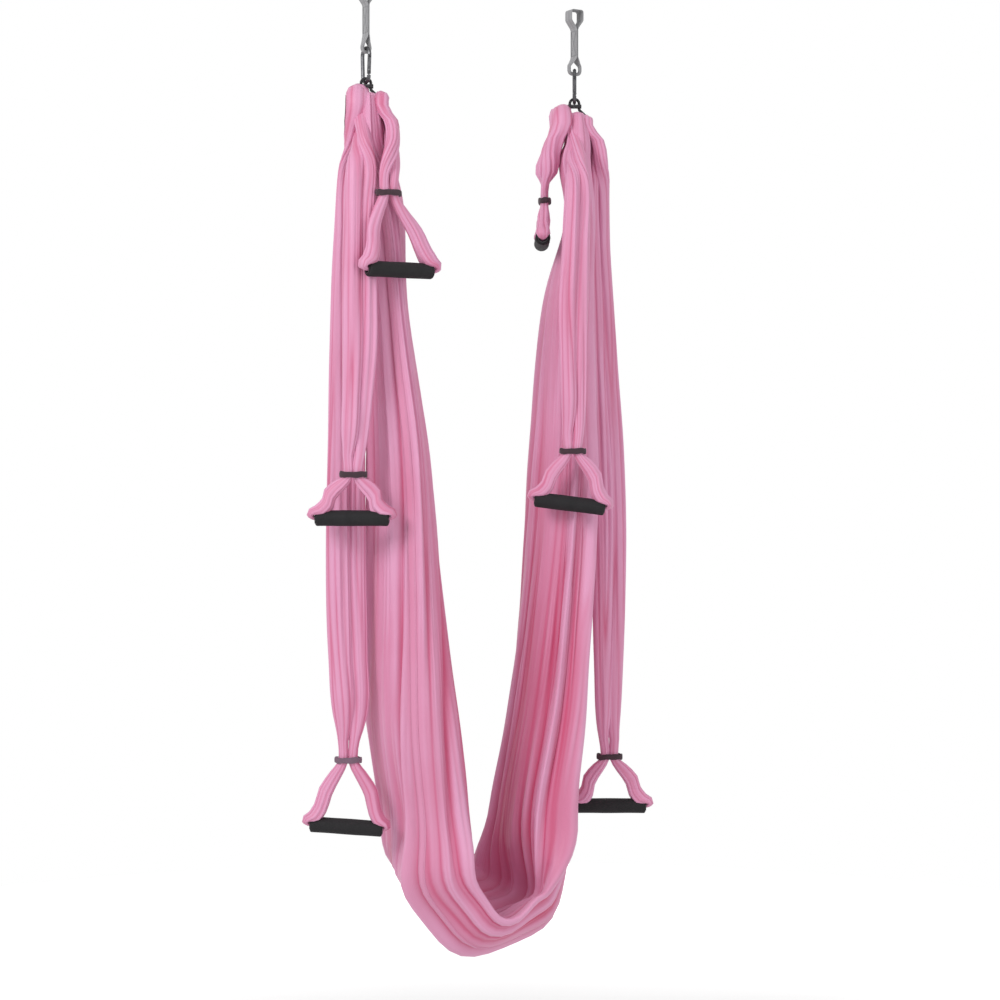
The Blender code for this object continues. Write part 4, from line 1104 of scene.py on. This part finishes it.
foam, tree = plain_material("black_pebbled_foam", Specular_IOR_Level=0.35)
place = own_place(tree)
cells = joined(tree, "ShaderNodeTexVoronoi", {"feature": "F1"}, Vector=place, Scale=900.0)
pebbles = cells.outputs["Distance"]
swells = noise(place, 60.0, 4.0)
skin = maths("MULTIPLY_ADD", pebbles, 0.6, maths("MULTIPLY", swells, 0.5))
foam_colour = blended(swells, (0.0075, 0.007, 0.008), (0.019, 0.018, 0.020))
finished(foam_colour, maths("MULTIPLY_ADD", pebbles, 0.25, 0.66), skin, 0.6, 0.0004)

plastic, tree = plain_material("black_grip_tube_plastic", Specular_IOR_Level=0.5)
scuffs = noise(own_place(tree), 350.0, 4.0)
plastic_colour = blended(scuffs, (0.018, 0.018, 0.02), (0.035, 0.035, 0.038))
finished(plastic_colour, maths("MULTIPLY_ADD", scuffs, 0.3, 0.3))

half_foam = grip_length / 2
flat_end, flat_radius = half_foam - grip_edge, grip_radius - grip_edge
corner = [
    (flat_end + grip_edge * math.sin(t), flat_radius + grip_edge * math.cos(t))
    for t in np.linspace(0, math.pi / 2, 6)
]
profile = [(-x, r) for x, r in reversed(corner)]
profile += [(x, grip_radius) for x in np.linspace(-flat_end, flat_end, 36)][1:-1] + corner
profile += [(x, foam_bore) for x in np.linspace(half_foam, -half_foam, 6)]
x, even_radius = np.array(profile).T[:, None]
turn = round_angles(grip_sides)[:, None]
for key, handle in handles.items():
    level = unit(np.cross(up, handle.grip_way))
    upright = np.cross(handle.grip_way, level)
    phase = len(key) + handle.ring_drop * 9
    swell = 0.00018 * np.cos(2 * turn + phase) + 0.00015 * np.cos(90 * x + phase) - 0.0002
    radius = even_radius + np.where(even_radius > foam_bore + 0.001, swell, 0)
    foam_points = (
        handle.grip_place
        + handle.grip_way * (x + 0 * turn)[..., None]
        + level * (radius * np.cos(turn))[..., None]
        + upright * (radius * np.sin(turn))[..., None]
    )
    grip = grid_object(f"foam_grip_{key}", foam_points, closed=(True, True), finish=foam)
    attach(grip, f"grip_{key}")
    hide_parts(f"grip_foam_{key}")
    bpy.data.objects[f"grip_tube_{key}"].material_slots[0].material = plastic
print("foam grips:", len(grip.data.polygons), "faces each")

# %% [markdown]
# ## Slings of braided cord
#
# The cord over each carabiner is braided from twelve strands. Half of them wind one way round a core and
# half the other way, and each goes over one strand and under the next. That is a rule, so Geometry Nodes
# make it: the line is duplicated once for each strand, and every point is moved off the line by an angle
# that grows with its length.

# %% The tree that braids a cord
tree, given, out = geometry_tree(
    "braided_cord",
    [
        ("Strands each way", "Int", 6),
        ("Turn length", "Float", 0.018),
        ("Point step", "Float", 0.0005),
        ("Braid radius", "Float", 0.0016),
        ("Lift", "Float", 0.0003),
        ("Strand radius", "Float", 0.0006),
        ("Core radius", "Float", 0.0014),
        ("Side way", "Vector", (0.0, 0.0, 1.0)),
    ],
)
line = joined(tree, "GeometryNodeMeshToCurve", Mesh=given["Geometry"]).outputs[0]
fine = joined(tree, "GeometryNodeResampleCurve", by_length, Curve=line, Length=given["Point step"]).outputs[0]
each_way = given["Strands each way"]
inputs = {"Geometry": fine, "Amount": maths("MULTIPLY", each_way, 2.0)}
copies = joined(tree, "GeometryNodeDuplicateElements", {"domain": "SPLINE"}, **inputs).outputs
number = copies["Duplicate Index"]
way = maths("MULTIPLY_ADD", maths("MODULO", number, 2.0), -2.0, 1.0)
pair = maths("FLOOR", maths("MULTIPLY", number, 0.5))
length_at = joined(tree, "GeometryNodeSplineParameter").outputs["Length"]
wound_turns = maths("MULTIPLY", maths("DIVIDE", length_at, given["Turn length"]), full_turn)
first_angle = maths("DIVIDE", maths("MULTIPLY", pair, full_turn), each_way)
turn_angle = maths("ADD", maths("MULTIPLY", wound_turns, way), first_angle)
over = maths("MULTIPLY", maths("COSINE", maths("MULTIPLY", wound_turns, each_way)), way)
reach = maths("MULTIPLY_ADD", over, given["Lift"], given["Braid radius"])
tangent = joined(tree, "GeometryNodeInputTangent").outputs[0]
first_side = vector_maths("NORMALIZE", vector_maths("CROSS_PRODUCT", tangent, _1=given["Side way"]))
second_side = vector_maths("CROSS_PRODUCT", tangent, _1=first_side)
along_first, along_second = (
    vector_maths("SCALE", side, Scale=maths("MULTIPLY", maths(wave, turn_angle), reach))
    for side, wave in ((first_side, "COSINE"), (second_side, "SINE"))
)
shift = vector_maths("ADD", along_first, _1=along_second)
moved = joined(tree, "GeometryNodeSetPosition", Geometry=copies["Geometry"], Offset=shift).outputs[0]
whole_cord = tree.nodes.new("GeometryNodeJoinGeometry")
for curve, radius, sides in ((moved, "Strand radius", 5), (line, "Core radius", 10)):
    outline = joined(tree, "GeometryNodeCurvePrimitiveCircle", Resolution=sides, Radius=given[radius])
    tube = joined(tree, "GeometryNodeCurveToMesh", Curve=curve, Profile_Curve=outline.outputs[0])
    tree.links.new(tube.outputs[0], whole_cord.inputs[0])
braid_tree = ended(whole_cord.outputs[0], given, out)
print("braid tree ready with", len(braid_tree.nodes), "nodes")

# %% The slings' lines, their cord and their whipping
black_cord, tree = plain_material("black_braided_cord", Roughness=0.7, Sheen_Weight=0.25)
place = own_place(tree)
fibres = noise(place, 1800.0)
dust = noise(place, 140.0, 2.0)
fibre_colour = blended(fibres, (0.008, 0.008, 0.010), (0.030, 0.030, 0.034))
finished(blended(above(dust, 0.5, 0.5), fibre_colour, (0.10, 0.09, 0.10)), height=fibres)

swing_z, clip_length, clip_wire, web_roll = -0.104, 0.059, 0.003, 0.0028
fit_gap = 0.0003
clip_top_z = swing_z + web_roll + fit_gap + clip_wire
clip_low_z = clip_top_z - clip_length + 2 * clip_wire
sling_cord, sling_neck, sling_bar_half, sling_corner = 0.0025, 0.0076, 0.0360, 0.0060
apex_z = bar_z + 0.044
collar_top = clip_low_z - clip_wire - fit_gap
collar_height, collar_half_wide, collar_half_deep = 0.0060, 0.0116, 0.0046
collar_low = collar_top - collar_height
clip_heights = [round(z, 4) for z in (clip_low_z, apex_z, collar_low, collar_top)]
print("clip low, apex, collar low and top", clip_heights)


def rounded_loop(corners, step):
    """A closed line with rounded corners (x, z, radius), with a point at every step, all anticlockwise."""
    found = []
    for k, (x, z, radius) in enumerate(corners):
        here = np.array((x, z))
        arrive = unit(here - np.array(corners[k - 1][:2]))
        leave = unit(np.array(corners[(k + 1) % len(corners)][:2]) - here)
        turn = math.atan2(arrive[0] * leave[1] - arrive[1] * leave[0], float(np.dot(arrive, leave)))
        start = here - arrive * radius * math.tan(abs(turn) / 2)
        side = np.array((-arrive[1], arrive[0])) * math.copysign(1, turn)
        for bend in abs(turn) * np.linspace(0, 1, 9):
            found.append(start + side * radius * (1 - math.cos(bend)) + arrive * radius * math.sin(bend))
    found = np.array([*found, found[0]])
    return evenly(found, found, int(lengths(found)[-1] / step))[:-1]


neck_corner = collar_low - sling_cord
sling_line = rounded_loop(
    [
        (-sling_bar_half, bar_z, sling_corner),
        (sling_bar_half, bar_z, sling_corner),
        (sling_neck, neck_corner, sling_cord),
        (sling_neck, apex_z, sling_neck * 0.97),
        (-sling_neck, apex_z, sling_neck * 0.97),
        (-sling_neck, neck_corner, sling_cord),
    ],
    0.001,
)
sling_length = lengths(sling_line, closed=True)[-1]
turn_length = sling_length / round(sling_length / 0.018)  # so that the braid meets itself
# The whipping is one thread wound round both cords
wraps, flat_share = 7, 0.3
turn = np.linspace(0, full_turn * wraps, 60 * wraps)
thread = collar_height / wraps / 2 * 1.02
rise = np.linspace(collar_low + thread, collar_top - thread, len(turn))
wide = signed_power(np.cos(turn), flat_share) * (collar_half_wide - thread)
deep = signed_power(np.sin(turn), flat_share) * (collar_half_deep - thread)
wrap_line = np.stack([wide, deep, rise], axis=1)
wrap_line = evenly(wrap_line, wrap_line, 90 * wraps)
wrap_sizes = {
    "Strands_each_way": 1,
    "Turn_length": 0.0016,
    "Point_step": 0.0004,
    "Braid_radius": thread * 0.45,
    "Lift": 0.0,
    "Strand_radius": thread * 0.5,
    "Core_radius": thread * 0.8,
    "Side_way": (0.0, 0.0, 1.0),
    "Material": black_cord,
}
for side, place in hang.items():
    cord = grown_mesh(
        f"sling_cord_{side}",
        place + across * sling_line[:, :1] + up * sling_line[:, 1:],
        True,
        braid_tree,
        Turn_length=turn_length,
        Side_way=tuple(away),
        Material=black_cord,
    )
    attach(cord, "hammock")
    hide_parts(f"sling_{side}")
    wrap_points = place + across * wrap_line[:, :1] + away * wrap_line[:, 1:2] + up * wrap_line[:, 2:]
    whipping = grown_mesh(f"sling_whipping_{side}", wrap_points, False, braid_tree, **wrap_sizes)
    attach(whipping, "hammock")
    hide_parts(f"sling_collar_{side}")
    print(cord.name, len(cord.data.polygons), "faces,", whipping.name, len(whipping.data.polygons), "faces")

# %% [markdown]
# ## Hanging straps of webbing
#
# Each hanging strap is woven polyester webbing, sewn into an eye for the ceiling hook and a pocket for the
# carabiner. Inside the carabiner the webbing is rolled up to a soft round bundle. It is lofted along its
# loop, its weave is in the material by its own length and width, and the crossed box of stitches is real.

# %% Webbing and thread materials
webbing, tree = plain_material("grey_woven_webbing", Sheen_Weight=0.15, Roughness=0.75)
warp, weft = (bands(cloth_uv(tree), way, scale) for way, scale in (("X", 180.0), ("Y", 260.0)))
yarns = maths("MULTIPLY", warp, maths("MULTIPLY_ADD", weft, 0.7, 0.3))
place = own_place(tree)
fibres = noise(place, 900.0)
handled = noise(place, 60.0, 2.0)
yarn_colour = blended(yarns, (0.20, 0.20, 0.21), (0.46, 0.46, 0.47))
yarn_colour = blended(maths("MULTIPLY", fibres, 0.3), yarn_colour, (0.55, 0.55, 0.56))
web_colour = blended(above(handled, 0.5, 0.6), yarn_colour, (0.20, 0.19, 0.19))
weave = maths("MULTIPLY_ADD", yarns, 0.8, maths("MULTIPLY", fibres, 0.2))
finished(web_colour, None, weave, 0.6, 0.0004)
thread_grey = thread_material("dark_sewing_thread", (0.05, 0.05, 0.055), (0.12, 0.12, 0.13), Roughness=0.6)
print("webbing and thread ready")

# %% The webbing and its stitches
web_thick, web_wide, web_sides, web_step = 0.0013, 0.020, 40, 0.0015
web_eye_half, web_eye_height = 0.0105, 0.030
web_pocket_height, web_bend = 0.026, 0.0061
web_pocket_spare = {"left": 0.0003, "right": 0.0042}
web_seam = web_thick / 2 + fit_gap / 2
box_half, box_low, box_top = 0.0072, swing_z + web_pocket_height + 0.004, -web_eye_height - 0.004
box_outer = web_seam + web_thick / 2 + 0.0001
# The stitches run round the box and then along its two diagonals
box_corners = [(-box_half, box_low), (box_half, box_low), (box_half, box_top), (-box_half, box_top)]
box_route = [box_corners[k] for k in (0, 1, 2, 3, 0, 2, 1, 3)]

for side, place in hang.items():
    pocket = clip_wire + web_pocket_spare[side] + fit_gap + web_roll
    eye = web_eye_half + web_thick / 2
    right_half = [
        (pocket, swing_z, web_bend),
        (pocket, swing_z + pocket * 1.25, pocket * 0.4),
        (web_seam, swing_z + web_pocket_height, pocket * 0.9),
        (web_seam, -web_eye_height, web_eye_half * 0.9),
        (eye, -web_eye_height * 0.55, web_eye_half * 0.6),
        (eye, web_thick / 2, web_eye_half * 0.35),
    ]
    web_line = rounded_loop(right_half + [(-x, z, r) for x, z, r in reversed(right_half)], web_step)
    way = unit(np.roll(web_line, -1, axis=0) - np.roll(web_line, 1, axis=0))
    normal = np.stack([way[:, 1], -way[:, 0]], axis=1)
    # Round the carabiner the webbing is rolled up, and above it goes over to lying flat
    flat = smooth((web_line[:, 1] - swing_z - pocket) / (web_pocket_height - pocket))[:, None]
    half_thick, half_wide = mix(web_roll, web_thick / 2, flat), mix(web_roll, web_wide / 2, flat)
    turn = round_angles(web_sides)[None, :]
    wrinkle = 1 + 0.07 * (1 - flat) * np.cos(5 * turn + 40 * web_line[:, 1:])  # on the roll only
    out = signed_power(np.cos(turn), mix(0.9, 0.35, flat)) * half_thick * wrinkle
    aside = signed_power(np.sin(turn), mix(0.9, 0.55, flat)) * half_wide * wrinkle
    web_points = np.stack(
        [
            place[0] + web_line[:, :1] + normal[:, :1] * out,
            place[1] + aside,
            place[2] + web_line[:, 1:] + normal[:, 1:] * out,
        ],
        axis=-1,
    )
    web_at = lengths(web_line, closed=True)
    web_uv = (web_at, np.linspace(0, 2 * web_wide + 2 * web_thick, web_sides + 1))
    band = grid_object(f"webbing_{side}", web_points, web_uv, (True, True), webbing)
    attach(band, "hanging_straps")
    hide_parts(f"hanging_strap_{side}")
    for face, outer in (("front", -box_outer), ("back", box_outer)):
        stitches = grown_mesh(
            f"webbing_stitches_{side}_{face}",
            [(place[0] + outer, place[1] + y, place[2] + z) for y, z in box_route],
            False,
            stitch_tree,
            Stitch_length=0.0022,
            Stitch_step=0.0029,
            Thread_radius=0.0003,
            Material=thread_grey,
        )
        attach(stitches, "hanging_straps")
    print(band.name, len(band.data.polygons), "faces,", round(web_at[-1], 3), "m of webbing round")

# %% [markdown]
# ## Steel
#
# The carabiners' bodies and gates, the hinge pins and the springs keep their CAD shapes, because those are
# the real ones. They get steel with the fine marks of handling: the satin dark finish is rubbed paler in
# patches.

# %% Steel materials
tree, given, out = new_tree(
    "handled_steel",
    "ShaderNodeTree",
    [
        ("Place", "Vector", None),
        ("Finish colour", "Color", (0.2, 0.2, 0.2, 1)),
        ("Rubbed colour", "Color", (0.5, 0.5, 0.5, 1)),
        ("Rubbed share", "Float", 0.3),
    ],
    [("Colour", "Color"), ("Roughness", "Float"), ("Height", "Float")],
)
patches = noise(given["Place"], 160.0, 5.0, 0.65)
scratches = noise(vector_maths("MULTIPLY", given["Place"], _1=(1, 1, 0.12)), 2200.0)
rubbed = maths("MULTIPLY", above(patches, 0.5, 5.0), given["Rubbed share"])
steel_colour = blended(rubbed, given["Finish colour"], given["Rubbed colour"])
scratched = blended(maths("MULTIPLY", scratches, 0.15), steel_colour, given["Rubbed colour"])
tree.links.new(scratched, out["Colour"])
tree.links.new(maths("MULTIPLY_ADD", scratches, 0.20, 0.30), out["Roughness"])
tree.links.new(scratches, out["Height"])


def steel_material(name, finish, rubbed_colour):
    made, tree = plain_material(name, Metallic=1.0)
    colours = {"Finish_colour": (*finish, 1), "Rubbed_colour": (*rubbed_colour, 1)}
    surface = {"node_tree": bpy.data.node_groups["handled_steel"]}
    place = own_place(tree)
    surface = joined(tree, "ShaderNodeGroup", surface, Place=place, Rubbed_share=0.5, **colours).outputs
    finished(surface["Colour"], surface["Roughness"], surface["Height"], 0.15)
    return made


dark_steel = steel_material("dark_satin_steel", (0.075, 0.075, 0.080), (0.24, 0.24, 0.25))
bright_steel = steel_material("bright_pin_steel", (0.50, 0.50, 0.51), (0.62, 0.62, 0.63))
for side in hang:
    for node, steel in (
        (f"carabiner_body_{side}", dark_steel),
        (f"carabiner_gate_{side}", dark_steel),
        (f"gate_pin_{side}", bright_steel),
        (f"gate_spring_{side}", bright_steel),
    ):
        bpy.data.objects[node].material_slots[0].material = steel
print("steel on the carabiners, gates, pins and springs of both sides")
